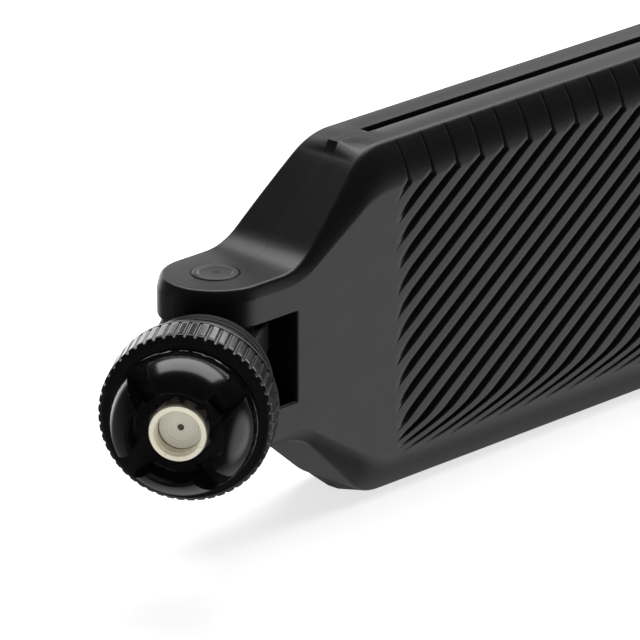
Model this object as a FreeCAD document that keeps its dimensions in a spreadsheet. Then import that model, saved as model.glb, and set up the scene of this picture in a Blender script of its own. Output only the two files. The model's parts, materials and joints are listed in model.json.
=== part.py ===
import FreeCAD, Part
import math
import operator
import os
from types import SimpleNamespace

import Sketcher
from FreeCAD import Placement, Rotation, Vector

# Paddle antenna: a ribbed, flat blade on a swivelling, tilting base with an RP-SMA plug.
#
# Frame, in millimetres: the origin is the centre of the coupling nut's front face. The plug's
# axis is Y, its mouth faces -Y and the base runs back towards +Y. Z is across the blade, along
# the tilt hinge. At rest the blade is folded about the hinge towards +X.
#
# The blade's pieces are drawn in the blade's own axes, with the hinge at the origin: X is the
# normal of the front face, Y runs along the blade to its tip, and Z is across it.

SIZES = {
    # coupling nut
    "nut_flats": 8.0,
    "nut_bore_radius": 3.225,
    "nut_thread_depth": 2.65,
    "nut_relief_radius": 3.45,
    "nut_bore_depth": 6.15,
    "nut_lip_radius": 2.46,
    "nut_length": 7.2,
    "nut_mouth_radius": 3.95,
    "nut_corner_slope": 4.0,
    # plug inside the nut
    "sleeve_front": 2.6,
    "sleeve_inner_radius": 2.05,
    "sleeve_outer_radius": 2.3,
    "sleeve_flange_front": 5.4,
    "sleeve_flange_back": 6.0,
    "sleeve_flange_radius": 3.0,
    "sleeve_shank_radius": 2.4,
    "sleeve_step": 9.5,
    "sleeve_back": 12.0,
    "gasket_front": 2.62,
    "gasket_gap": 0.01,
    "gasket_radius": 3.08,
    "contact_radius": 0.635,
    "contact_socket_radius": 0.47,
    "contact_front": 2.6,
    "contact_socket_depth": 2.4,
    "contact_back": 9.3,
    # coupling head
    "crown_reach": 2.2,
    "crown_mouth_radius": 6.5,
    "crown_rim_radius": 6.9,
    "crown_base_radius": 10.0,
    "crown_dome_radius": 8.6,
    "crown_flange_front": 4.7,
    "crown_flange_radius": 10.25,
    "crown_web_front": 2.6,
    "crown_web_radius": 2.0,
    "crown_spigot_radius": 9.55,
    "crown_socket_radius": 7.6,
    "crown_back": 10.4,
    "crown_socket_play": 0.03,
    "notch_width": 3.6,
    "notch_floor": 4.1,
    "notch_count": 4,
    "head_turn": 38.0,
    "collar_front": 5.5,
    "collar_radius": 12.1,
    "collar_chamfer": 0.7,
    "collar_bore_radius": 9.6,
    "collar_web_front": 10.6,
    "collar_back": 12.7,
    "collar_hole_radius": 7.0,
    "knurl_back": 11.3,
    "knurl_count": 52,
    "knurl_depth": 0.3,
    "knurl_gap": 0.45,
    "bead_step": 0.2,
    "bead_edge": 0.4,
    "bead_drop": 0.1,
    # swivel
    "spindle_front": 7.7,
    "spindle_flange_back": 8.4,
    "spindle_flange_radius": 4.6,
    "spindle_journal_radius": 3.45,
    "spindle_groove_front": 15.4,
    "spindle_groove_back": 16.0,
    "spindle_groove_radius": 2.95,
    "spindle_back": 17.0,
    "spindle_bore_radius": 1.75,
    "stop_width": 1.6,
    "stop_radius": 6.3,
    "stop_root": 0.3,
    "washer_radius": 5.3,
    "barrel_front": 8.9,
    "barrel_spigot_radius": 6.6,
    "barrel_shoulder": 13.0,
    "barrel_radius": 9.8,
    "barrel_edge": 0.5,
    "barrel_bearing_back": 14.4,
    "barrel_cavity_radius": 6.0,
    "barrel_back": 19.5,
    "journal_play": 0.05,
    "fit_gap": 0.03,
    "press_gap": 0.02,
    "face_gap": 0.05,
    "end_gap": 0.1,
    "clip_radius": 5.0,
    "clip_opening": 4.0,
    "ring_radius": 4.35,
    "ring_section": 0.45,
    "ferrule_radius": 1.6,
    "ferrule_back": 17.1,
    "coax_radius": 0.9,
    "cable_gap": 0.07,
    # hinge
    "hinge_at": 30.5,
    "fold": 35.0,
    "tongue_spigot": 2.2,
    "tongue_shoulder": 21.5,
    "tongue_edge": 0.8,
    "tongue_radius": 7.4,
    "tongue_half": 6.0,
    "tongue_slot_half": 1.5,
    "tongue_slot_reach": 6.0,
    "pin_radius": 2.0,
    "pin_play": 0.01,
    "pin_inner": 3.1,
    "pin_head_radius": 3.4,
    "pin_head_inner": 10.5,
    "pin_head_outer": 11.4,
    "cap_outer": 12.6,
    "cap_edge": 0.6,
    "friction_washer_radius": 5.9,
    "ear_inner": 6.6,
    "ear_outer": 12.4,
    "ear_edge": 1.5,
    "slot_floor": 7.8,
    "cable_way_radius": 1.2,
    "coax_start": 0.25,
    "coax_bend_reach": 5.0,
    # blade shells
    "blade_length": 229.0,
    "blade_half_width": 26.0,
    "blade_half_thickness": 8.1,
    "neck_end": 9.0,
    "shoulder_at": 24.0,
    "neck_round": 9.0,
    "tip_round": 8.0,
    "facet_width": 6.2,
    "facet_drop": 3.0,
    "parting_start": 30.0,
    "parting_half_width": 0.85,
    "parting_depth": 1.1,
    "shell_gap": 0.02,
    "cavity_start": 16.0,
    "cavity_corner": 4.8,
    "edge_wall": 2.3,
    "edge_hollow": 3.6,
    "face_margin": 5.7,
    "face_hollow": 5.9,
    "rib_pitch": 5.0,
    "rib_slope": 35.0,
    "groove_width": 1.25,
    "groove_depth": 1.0,
    "rib_start": 31.0,
    "rib_count": 27,
    "rib_half_span": 19.8,
    # antenna board
    "board_start": 24.0,
    "board_end": 214.0,
    "board_half_width": 11.0,
    "board_half_thickness": 0.4,
    "board_notch": 4.0,
    "trace_gap": 0.01,
    "trace_thickness": 0.08,
    "line_start": 3.0,
    "line_half_width": 0.8,
    "patch_start": 1.0,
    "patch_half_width": 5.0,
    "patch_length": 26.0,
    "patch_pitch": 30.0,
    "patch_count": 6,
    "shrink_start": 17.5,
    "shrink_end": 23.5,
    "shrink_radius": 1.3,
    "solder_start": 3.2,
    "solder_length": 3.0,
    "solder_half_width": 0.63,
    "solder_height": 0.5,
    "solder_round": 0.3,
    "foam_start": 25.0,
    "foam_height": 5.85,
    "foam_half_width": 9.0,
    "foam_length": 12.0,
    "foam_pitch": 60.0,
    "foam_count": 3,
}

# how far a cut's outline or tool goes on past the surface it cuts
BEYOND = 1
# share of a facet's section by which its cut runs over on both sides
OVERRUN = 0.2

OPERATORS = {"+": operator.add, "-": operator.sub, "*": operator.mul, "/": operator.truediv}


class Size:
    """A number from the sheet, or worked out from it: its value and its expression."""

    def __init__(self, value, text):
        self.value = value
        self.text = text

    def joined(self, sign, other, swapped=False):
        first, second = (other, self) if swapped else (self, other)
        value = OPERATORS[sign](number(first), number(second))
        return Size(value, f"({expression(first)} {sign} {expression(second)})")

    def __add__(self, other):
        return self.joined("+", other)

    def __radd__(self, other):
        return self.joined("+", other, swapped=True)

    def __sub__(self, other):
        return self.joined("-", other)

    def __rsub__(self, other):
        return self.joined("-", other, swapped=True)

    def __mul__(self, other):
        return self.joined("*", other)

    def __rmul__(self, other):
        return self.joined("*", other, swapped=True)

    def __truediv__(self, other):
        return self.joined("/", other)

    def __neg__(self):
        return self.joined("*", -1)


def number(value):
    return value.value if isinstance(value, Size) else value


def expression(value):
    return value.text if isinstance(value, Size) else str(value)


def bind(thing, name, value):
    """Tie a property of an object to the sheet, or set it where its value is a plain number."""
    thing.setExpression(name, expression(value))


doc = FreeCAD.newDocument("paddle_antenna")


def make_sheet():
    """Write the driving sizes in the sheet and return them as Size objects under their names."""
    sheet = doc.addObject("Spreadsheet::Sheet", "Dimensions")
    sizes = {}
    for row, (alias, value) in enumerate(SIZES.items(), start=1):
        sheet.set(f"A{row}", alias)
        sheet.set(f"B{row}", str(value))
        sheet.setAlias(f"B{row}", alias)
        sizes[alias] = Size(float(value), f"Dimensions.{alias}")
    doc.recompute()
    return SimpleNamespace(**sizes)


d = make_sheet()
nodes = []


# ---- sketches and features ----


def new_body(name):
    """Start a piece of its own, which is written to the file of the same name."""
    body = doc.addObject("PartDesign::Body", name)
    body.Label = name
    nodes.append(body)
    return body


def origin_part(body, role):
    return next(part for part in body.Origin.OriginFeatures if part.Role == role)


def new_sketch(body, role, offset=0):
    """A sketch on one of the body's origin planes, moved along the plane's normal by offset."""
    sketch = body.newObject("Sketcher::SketchObject", f"{body.Name}_sketch")
    sketch.AttachmentSupport = [(origin_part(body, role), "")]
    sketch.MapMode = "FlatFace"
    sketch.AttachmentOffset = Placement(Vector(0, 0, number(offset)), Rotation())
    bind(sketch, "AttachmentOffset.Base.z", offset)
    return sketch


def arc_between(start, end, radius):
    """An arc from start to end whose centre is on the right of the way from start to end."""
    middle = (start + end) * 0.5
    way = (end - start).normalize()
    right = Vector(way.y, -way.x, 0)
    half_chord = (end - start).Length / 2
    centre = middle + right * math.sqrt(radius**2 - half_chord**2)
    crest = centre + (middle - centre).normalize() * radius
    return Part.Arc(end, crest, start)


def end_at(sketch, index, point):
    """Which end of the sketch's edge, 1 or 2, lies at the point."""
    edge = sketch.Geometry[index]
    return 1 if edge.StartPoint.distanceToPoint(point) < 1e-6 else 2


def add_outline(sketch, corners):
    """Close a loop through the corners, each held by its distances from the sketch's axes.

    A corner is (x, y), or (x, y, radius) where the side that follows it is an arc.
    """
    first = sketch.GeometryCount
    points = [Vector(number(corner[0]), number(corner[1]), 0) for corner in corners]
    count = len(points)
    for i, corner in enumerate(corners):
        start, end = points[i], points[(i + 1) % count]
        is_arc = len(corner) == 3
        side = arc_between(start, end, number(corner[2])) if is_arc else Part.LineSegment(start, end)
        index = sketch.addGeometry(side, False)
        if is_arc:
            held = sketch.addConstraint(Sketcher.Constraint("Radius", index, number(corner[2])))
            bind(sketch, f"Constraints[{held}]", corner[2])
    for i, corner in enumerate(corners):
        before, after = first + (i - 1) % count, first + i
        end, start = end_at(sketch, before, points[i]), end_at(sketch, after, points[i])
        sketch.addConstraint(Sketcher.Constraint("Coincident", before, end, after, start))
        for kind, place in (("DistanceX", corner[0]), ("DistanceY", corner[1])):
            held = sketch.addConstraint(Sketcher.Constraint(kind, -1, 1, after, start, number(place)))
            bind(sketch, f"Constraints[{held}]", place)


def revolve(body, *outlines, role="XY_Plane", angle=360, reverse=False):
    """Turn closed outlines about the sketch's upright axis."""
    sketch = new_sketch(body, role)
    for corners in outlines:
        add_outline(sketch, corners)
    turned = body.newObject("PartDesign::Revolution", f"{body.Name}_revolution")
    turned.Profile = sketch
    turned.ReferenceAxis = (sketch, ["V_Axis"])
    turned.Angle = angle
    turned.Reversed = reverse
    return turned


def pad(body, corners, low, high, role="YZ_Plane", reverse=False):
    """Pad an outline from low to high along the plane's normal."""
    sketch = new_sketch(body, role, low)
    add_outline(sketch, corners)
    raised = body.newObject("PartDesign::Pad", f"{body.Name}_pad")
    raised.Profile = sketch
    raised.Reversed = reverse
    bind(raised, "Length", high - low)
    return raised


def pocket(body, outlines, start, depth, role="YZ_Plane", towards_normal=False):
    """Cut outlines, from start along the plane's normal, to a depth."""
    sketch = new_sketch(body, role, start)
    for corners in outlines:
        add_outline(sketch, corners)
    cut = body.newObject("PartDesign::Pocket", f"{body.Name}_pocket")
    cut.Profile = sketch
    cut.Reversed = towards_normal
    bind(cut, "Length", depth)
    return cut


AXIS_TURNS = {
    "X": Rotation(Vector(0, 1, 0), 90),
    "Y": Rotation(Vector(1, 0, 0), -90),
    "Z": Rotation(),
}


def cylinder(body, kind, radius, low, high, axis="Y", at=(0, 0, 0)):
    """Add or cut a cylinder along an axis, from low to high, through the point at."""
    feature = body.newObject(f"PartDesign::{kind}Cylinder", f"{body.Name}_cylinder")
    bind(feature, "Radius", radius)
    bind(feature, "Height", high - low)
    place = dict(zip("xyz", at))
    place[axis.lower()] = place[axis.lower()] + low
    put(feature, place, AXIS_TURNS[axis])
    return feature


def box(body, kind, low, high):
    """Add or cut a box between two corners."""
    feature = body.newObject(f"PartDesign::{kind}Box", f"{body.Name}_box")
    for name, near, far in zip(("Length", "Width", "Height"), low, high):
        bind(feature, name, far - near)
    put(feature, dict(zip("xyz", low)), Rotation())
    return feature


def put(feature, place, turn):
    feature.Placement = Placement(Vector(*[number(place[axis]) for axis in "xyz"]), turn)
    for axis in "xyz":
        bind(feature, f"Placement.Base.{axis}", place[axis])


def polar_pattern(body, feature, axis_role, count):
    pattern = body.newObject("PartDesign::PolarPattern", f"{body.Name}_pattern")
    pattern.Originals = [feature]
    pattern.Axis = (origin_part(body, axis_role), [""])
    pattern.Angle = 360
    bind(pattern, "Occurrences", count)
    body.Tip = pattern
    return pattern


def edges_where(shape, wanted):
    """The names of the shape's edges whose middle point passes a test."""
    found = []
    for index, edge in enumerate(shape.Edges, start=1):
        middle = edge.valueAt((edge.FirstParameter + edge.LastParameter) / 2)
        if wanted(edge, middle):
            found.append(f"Edge{index}")
    return found


def dress(body, kind, base, wanted, **sizes):
    """Add a Fillet or Chamfer on the edges of the base feature that pass a test."""
    doc.recompute()
    feature = body.newObject(f"PartDesign::{kind}", f"{body.Name}_{kind.lower()}")
    feature.Base = (base, edges_where(base.Shape, wanted))
    if "Size2" in sizes:
        feature.ChamferType = "Two distances"
    for name, value in sizes.items():
        bind(feature, name, value)
    return feature


def turn_about_plug(body, angle):
    body.Placement = Placement(Vector(), Rotation(Vector(0, -1, 0), number(angle)))
    bind(body, "Placement.Rotation.Angle", angle)


def put_on_hinge(body):
    """Give a piece drawn in the blade's axes its place on the folded blade."""
    body.Placement = Placement(Vector(0, number(d.hinge_at), 0), Rotation(Vector(0, 0, -1), number(d.fold)))
    bind(body, "Placement.Base.y", d.hinge_at)
    bind(body, "Placement.Rotation.Angle", d.fold)


def pair_across(body, name, normal):
    """Put a piece and its mirror image in one node: normal is that of the mirror plane."""
    mirror = doc.addObject("Part::Mirroring", f"{name}_mirror")
    mirror.Source = body
    mirror.Normal = normal
    both = doc.addObject("Part::Compound", name)
    both.Label = name
    both.Links = [body, mirror]
    body.Label = f"{name}_half"
    nodes.remove(body)
    nodes.append(both)
    return both


def tube(name, inner, outer, front, back):
    """A plain round tube about the plug's axis."""
    body = new_body(name)
    revolve(body, [(inner, front), (outer, front), (outer, back), (inner, back)])
    return body


# ---- plug ----


def make_outer_contact_sleeve():
    body = new_body("outer_contact_sleeve")
    cable_hole = d.coax_radius + d.cable_gap
    revolve(body, [
        (d.sleeve_inner_radius, d.sleeve_front),
        (d.sleeve_outer_radius, d.sleeve_front),
        (d.sleeve_outer_radius, d.sleeve_flange_front),
        (d.sleeve_flange_radius, d.sleeve_flange_front),
        (d.sleeve_flange_radius, d.sleeve_flange_back),
        (d.sleeve_shank_radius, d.sleeve_flange_back),
        (d.sleeve_shank_radius, d.sleeve_back),
        (cable_hole, d.sleeve_back),
        (cable_hole, d.sleeve_step),
        (d.sleeve_inner_radius, d.sleeve_step),
    ])


def make_dielectric():
    tube("dielectric", d.contact_radius + d.press_gap, d.sleeve_inner_radius - d.press_gap,
         d.sleeve_front, d.sleeve_step - d.end_gap)


def make_centre_contact():
    body = new_body("centre_contact")
    socket_floor = d.contact_front + d.contact_socket_depth
    revolve(body, [
        (d.contact_socket_radius, d.contact_front),
        (d.contact_radius, d.contact_front),
        (d.contact_radius, d.contact_back),
        (0, d.contact_back),
        (0, socket_floor),
        (d.contact_socket_radius, socket_floor),
    ])


def make_face_gasket():
    tube("face_gasket", d.sleeve_outer_radius + d.gasket_gap, d.gasket_radius, d.gasket_front,
         d.sleeve_flange_front - d.gasket_gap)


def make_nut_snap_ring():
    tube("nut_snap_ring", d.sleeve_shank_radius + d.press_gap, d.nut_bore_radius,
         d.nut_length + d.face_gap, d.spindle_front - d.face_gap)


def make_swivel_spindle():
    body = new_body("swivel_spindle")
    press_radius = d.sleeve_shank_radius + d.press_gap
    step = d.sleeve_back + d.face_gap
    revolve(body, [
        (press_radius, d.spindle_front),
        (d.spindle_flange_radius, d.spindle_front),
        (d.spindle_flange_radius, d.spindle_flange_back),
        (d.spindle_journal_radius, d.spindle_flange_back),
        (d.spindle_journal_radius, d.spindle_groove_front),
        (d.spindle_groove_radius, d.spindle_groove_front),
        (d.spindle_groove_radius, d.spindle_groove_back),
        (d.spindle_journal_radius, d.spindle_groove_back),
        (d.spindle_journal_radius, d.spindle_back),
        (d.spindle_bore_radius, d.spindle_back),
        (d.spindle_bore_radius, step),
        (press_radius, step),
    ])
    # stop lug that limits the swivel to less than a turn
    half = d.stop_width / 2
    box(body, "Additive", (-half, d.spindle_front, -d.stop_radius),
        (half, d.spindle_flange_back, d.stop_root - d.spindle_flange_radius))


def make_crimp_ferrule():
    tube("crimp_ferrule", d.coax_radius + d.fit_gap, d.ferrule_radius, d.sleeve_back + d.end_gap,
         d.ferrule_back)


def make_spindle_clip():
    body = new_body("spindle_clip")
    front, back = d.spindle_groove_front + d.press_gap, d.spindle_groove_back - d.press_gap
    inner = d.spindle_groove_radius + d.fit_gap
    revolve(body, [(inner, front), (d.clip_radius, front), (d.clip_radius, back), (inner, back)])
    half = d.clip_opening / 2
    box(body, "Subtractive", (0, front - BEYOND, -half), (d.clip_radius + BEYOND, back + BEYOND, half))


# ---- coupling head ----


def hexagon(apothem):
    """A regular hexagon with two flats across the sketch's upright axis."""
    corner = apothem / math.cos(math.pi / 6)
    upper = [(corner, 0), (corner / 2, apothem), (-corner / 2, apothem)]
    return upper + [(-x, -y) for x, y in upper]


def make_coupling_nut():
    body = new_body("coupling_nut")
    apothem = d.nut_flats / 2
    pad(body, hexagon(apothem), 0, d.nut_length, role="XZ_Plane", reverse=True)
    cylinder(body, "Subtractive", d.nut_bore_radius, -BEYOND, d.nut_bore_depth)
    cylinder(body, "Subtractive", d.nut_relief_radius, d.nut_thread_depth, d.nut_bore_depth)
    cylinder(body, "Subtractive", d.nut_lip_radius, d.nut_bore_depth - BEYOND, d.nut_length + BEYOND)
    # chamfer that rounds off the hexagon's corners at the mouth
    sketch = new_sketch(body, "XY_Plane")
    reach = apothem + BEYOND
    add_outline(sketch, [
        (d.nut_mouth_radius, 0),
        (reach, 0),
        (reach, (reach - d.nut_mouth_radius) * d.nut_corner_slope),
    ])
    groove = body.newObject("PartDesign::Groove", "coupling_nut_groove")
    groove.Profile = sketch
    groove.ReferenceAxis = (sketch, ["V_Axis"])
    groove.Angle = 360
    turn_about_plug(body, d.head_turn)


def make_grip_crown():
    body = new_body("grip_crown")
    spigot_front = d.collar_front
    revolve(body, [
        (d.crown_base_radius, d.crown_flange_front, d.crown_dome_radius),
        (d.crown_rim_radius, -d.crown_reach),
        (d.crown_mouth_radius, -d.crown_reach),
        (d.crown_mouth_radius, d.crown_web_front),
        (d.crown_web_radius, d.crown_web_front),
        (d.crown_web_radius, d.nut_length),
        (d.crown_socket_radius, d.nut_length),
        (d.crown_socket_radius, d.crown_back),
        (d.crown_spigot_radius, d.crown_back),
        (d.crown_spigot_radius, spigot_front),
        (d.crown_flange_radius, spigot_front),
        (d.crown_flange_radius, d.crown_flange_front),
    ])
    # hexagonal socket that drives the nut
    socket = hexagon(d.nut_flats / 2 + d.crown_socket_play)
    pocket(body, [socket], -(d.nut_length + BEYOND), d.nut_length, role="XZ_Plane", towards_normal=True)
    half = d.notch_width / 2
    notch = box(body, "Subtractive", (d.crown_mouth_radius - BEYOND, -(d.crown_reach + BEYOND), -half),
                (d.crown_flange_radius + BEYOND, d.notch_floor, half))
    polar_pattern(body, notch, "Y_Axis", d.notch_count)
    turn_about_plug(body, d.head_turn)


def make_knurled_collar():
    body = new_body("knurled_collar")
    chamfer = d.collar_chamfer
    bead_radius = d.collar_radius - d.bead_drop
    revolve(body, [
        (d.collar_bore_radius, d.collar_front),
        (d.collar_radius - chamfer, d.collar_front),
        (d.collar_radius, d.collar_front + chamfer),
        (d.collar_radius, d.knurl_back),
        (d.collar_radius - d.knurl_depth, d.knurl_back),
        (d.collar_radius - d.knurl_depth, d.knurl_back + d.bead_step),
        (bead_radius, d.knurl_back + d.bead_edge),
        (bead_radius, d.collar_back - d.bead_edge),
        (bead_radius - d.bead_edge, d.collar_back),
        (d.collar_hole_radius, d.collar_back),
        (d.collar_hole_radius, d.collar_web_front),
        (d.collar_bore_radius, d.collar_web_front),
    ])
    half = d.knurl_gap / 2
    groove = box(body, "Subtractive", (d.collar_radius - d.knurl_depth, d.collar_front - BEYOND, -half),
                 (d.collar_radius + BEYOND, d.knurl_back, half))
    polar_pattern(body, groove, "Y_Axis", d.knurl_count)


# ---- swivelling base ----


def make_swivel_washer():
    tube("swivel_washer", d.spindle_journal_radius + d.end_gap, d.washer_radius,
         d.spindle_flange_back + d.face_gap, d.barrel_front - d.face_gap)


def make_friction_ring():
    body = new_body("friction_ring")
    middle = (d.barrel_bearing_back + d.spindle_groove_front) / 2
    sketch = new_sketch(body, "XY_Plane")
    centre = Vector(number(d.ring_radius), number(middle), 0)
    sketch.addGeometry(Part.Circle(centre, Vector(0, 0, 1), number(d.ring_section)), False)
    for kind, where in (("DistanceX", d.ring_radius), ("DistanceY", middle)):
        held = sketch.addConstraint(Sketcher.Constraint(kind, -1, 1, 0, 3, number(where)))
        bind(sketch, f"Constraints[{held}]", where)
    held = sketch.addConstraint(Sketcher.Constraint("Radius", 0, number(d.ring_section)))
    bind(sketch, f"Constraints[{held}]", d.ring_section)
    turned = body.newObject("PartDesign::Revolution", "friction_ring_revolution")
    turned.Profile = sketch
    turned.ReferenceAxis = (sketch, ["V_Axis"])
    turned.Angle = 360


def make_swivel_barrel():
    body = new_body("swivel_barrel")
    journal = d.spindle_journal_radius + d.journal_play
    revolve(body, [
        (journal, d.barrel_front),
        (d.barrel_spigot_radius, d.barrel_front),
        (d.barrel_spigot_radius, d.barrel_shoulder),
        (d.barrel_radius - d.barrel_edge, d.barrel_shoulder),
        (d.barrel_radius, d.barrel_shoulder + d.barrel_edge),
        (d.barrel_radius, d.barrel_back),
        (d.barrel_cavity_radius, d.barrel_back),
        (d.barrel_cavity_radius, d.barrel_bearing_back),
        (journal, d.barrel_bearing_back),
    ])
    # stop post that meets the spindle's lug
    half = d.stop_width / 2
    box(body, "Additive", (-half, d.spindle_front + d.end_gap, d.washer_radius + 2 * d.end_gap),
        (half, d.barrel_front + d.barrel_edge, d.stop_radius))


def make_hinge_tongue():
    body = new_body("hinge_tongue")
    spigot = d.barrel_cavity_radius - d.fit_gap
    channel = d.tongue_slot_half
    front = d.barrel_back + d.fit_gap
    revolve(body, [
        (channel, d.barrel_back - d.tongue_spigot),
        (spigot, d.barrel_back - d.tongue_spigot),
        (spigot, front),
        (d.barrel_radius, front),
        (d.barrel_radius, d.tongue_shoulder - d.tongue_edge),
        (d.barrel_radius - d.tongue_edge, d.tongue_shoulder),
        (channel, d.tongue_shoulder),
    ])
    box(body, "Additive", (-d.tongue_radius, d.tongue_shoulder - BEYOND, -d.tongue_half),
        (d.tongue_radius, d.hinge_at, d.tongue_half))
    cylinder(body, "Additive", d.tongue_radius, -d.tongue_half, d.tongue_half, "Z",
             (0, d.hinge_at, 0))
    cylinder(body, "Subtractive", channel, d.barrel_back - d.tongue_spigot - BEYOND, d.hinge_at)
    cylinder(body, "Subtractive", d.pin_radius + d.journal_play, -(d.tongue_half + BEYOND),
             d.tongue_half + BEYOND, "Z", (0, d.hinge_at, 0))
    # slot that lets the cable follow the blade from straight to folded
    reach = d.tongue_radius + BEYOND
    box(body, "Subtractive", (-channel, d.hinge_at - d.tongue_slot_reach, -channel),
        (reach, d.hinge_at + reach, channel))


# ---- tilt hinge, carried by the blade ----


def make_hinge_pins():
    body = new_body("hinge_pin")
    cylinder(body, "Additive", d.pin_radius - d.pin_play, d.pin_inner, d.pin_head_inner + d.end_gap, "Z")
    cylinder(body, "Additive", d.pin_head_radius, d.pin_head_inner + d.face_gap, d.pin_head_outer, "Z")
    put_on_hinge(pair_across(body, "hinge_pins", Vector(0, 0, 1)))


def make_hinge_caps():
    body = new_body("hinge_cap")
    edge = d.pin_head_radius + d.face_gap
    revolve(body, [
        (0, d.pin_head_outer + d.end_gap),
        (edge, d.pin_head_outer + d.end_gap),
        (edge, d.ear_outer),
        (edge - d.cap_edge, d.cap_outer),
        (0, d.cap_outer),
    ], role="XZ_Plane")
    put_on_hinge(pair_across(body, "hinge_caps", Vector(0, 0, 1)))


def make_friction_washers():
    body = new_body("friction_washer")
    low, high = d.tongue_half + d.face_gap, d.ear_inner - d.face_gap
    cylinder(body, "Additive", d.friction_washer_radius, low, high, "Z")
    cylinder(body, "Subtractive", d.pin_radius + d.end_gap, low - BEYOND, high + BEYOND, "Z")
    put_on_hinge(pair_across(body, "friction_washers", Vector(0, 0, 1)))


# ---- blade shells ----


def mirrored(points):
    """A loop that is symmetric about the blade's middle line, from its upper half."""
    return points + [(along, -across) for along, across in reversed(points)]


def shell_outline():
    """The blade seen from its face: two ears, a widening neck, long parallel sides, the tip."""
    return mirrored([
        (d.slot_floor, d.ear_inner),
        (0, d.ear_inner),
        (0, d.ear_outer),
        (d.neck_end, d.ear_outer),
        (d.shoulder_at, d.blade_half_width),
        (d.blade_length, d.blade_half_width),
    ])


def cavity_outline(wall):
    """The hollow seen from the face, a wall's width inside the outline."""
    slope = (d.blade_half_width - d.ear_outer) / (d.shoulder_at - d.neck_end)
    slant = math.sqrt(1 + number(slope) ** 2)
    across = d.blade_half_width - wall
    neck_across = d.ear_outer + slope * (d.cavity_start - d.neck_end) - wall * slant
    shoulder = d.neck_end + (across + wall * slant - d.ear_outer) / slope
    end = d.blade_length - wall
    corner = d.cavity_corner
    return mirrored([
        (d.cavity_start, neck_across),
        (shoulder, across),
        (end - corner, across),
        (end, across - corner),
    ])


def is_upright(edge):
    """True for a straight edge along the blade's thickness."""
    if not isinstance(edge.Curve, (Part.Line, Part.LineSegment)):
        return False
    way = edge.tangentAt(edge.FirstParameter)
    return abs(abs(way.x) - 1) < 1e-6


def facet_wedge(side, edge):
    """Section of what a facet takes off a broad face whose border is at the given distance."""
    thick = d.blade_half_thickness
    across = d.facet_width * OVERRUN
    drop = d.facet_drop * OVERRUN
    return [
        (side * (thick - d.facet_drop - drop), edge + across),
        (side * (thick + drop), edge - d.facet_width - across),
        (side * (thick + drop), edge + across),
    ]


def cut_facets(body, side):
    """Cut the facets that run along both long sides of the broad face and across the tip."""
    wide, length = d.blade_half_width, d.blade_length
    upper = facet_wedge(side, wide)
    lower = [(normal, -across) for normal, across in upper]
    pocket(body, [upper, lower], -(length + BEYOND), length + 2 * BEYOND, role="XZ_Plane",
           towards_normal=True)
    pocket(body, [facet_wedge(side, length)], wide + BEYOND, 2 * (wide + BEYOND), role="XY_Plane")


def groove_strip(foot, low, high):
    """A slanted strip that would meet the field's lower border at foot, from low to high."""
    rise = math.radians(number(d.rib_slope))
    half = d.groove_width / (2 * math.sin(rise))
    lean = 1 / math.tan(rise)
    near = foot + (low + d.rib_half_span) * lean
    far = foot + (high + d.rib_half_span) * lean
    return [(near - half, low), (near + half, low), (far + half, high), (far - half, high)]


def cut_grooves(body, side):
    """Cut the slanted grooves that leave the ribs standing on the broad face.

    The grooves that cross the whole field are one pattern. Those that the field's two ends cut
    short are drawn one by one.
    """
    face = side * d.blade_half_thickness
    half = d.rib_half_span
    rise = math.tan(math.radians(number(d.rib_slope)))
    lean_pitches = int(2 * number(half) / rise / number(d.rib_pitch))
    cut = pocket(body, [groove_strip(d.rib_start, -half, half)], face, d.groove_depth,
                 towards_normal=side < 0)
    pattern = body.newObject("PartDesign::LinearPattern", f"{body.Name}_ribs")
    pattern.Originals = [cut]
    pattern.Direction = (cut.Profile[0], ["H_Axis"])
    bind(pattern, "Length", d.rib_pitch * (d.rib_count - 1))
    bind(pattern, "Occurrences", d.rib_count)
    body.Tip = pattern
    short = []
    for step in range(1, lean_pitches + 1):
        missing = d.rib_pitch * step * rise
        short.append(groove_strip(d.rib_start - d.rib_pitch * step, missing - half, half))
        last = d.rib_start + d.rib_pitch * (d.rib_count - 1)
        short.append(groove_strip(last + d.rib_pitch * step, -half, half - missing))
    pocket(body, short, face, d.groove_depth, towards_normal=side < 0)


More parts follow.
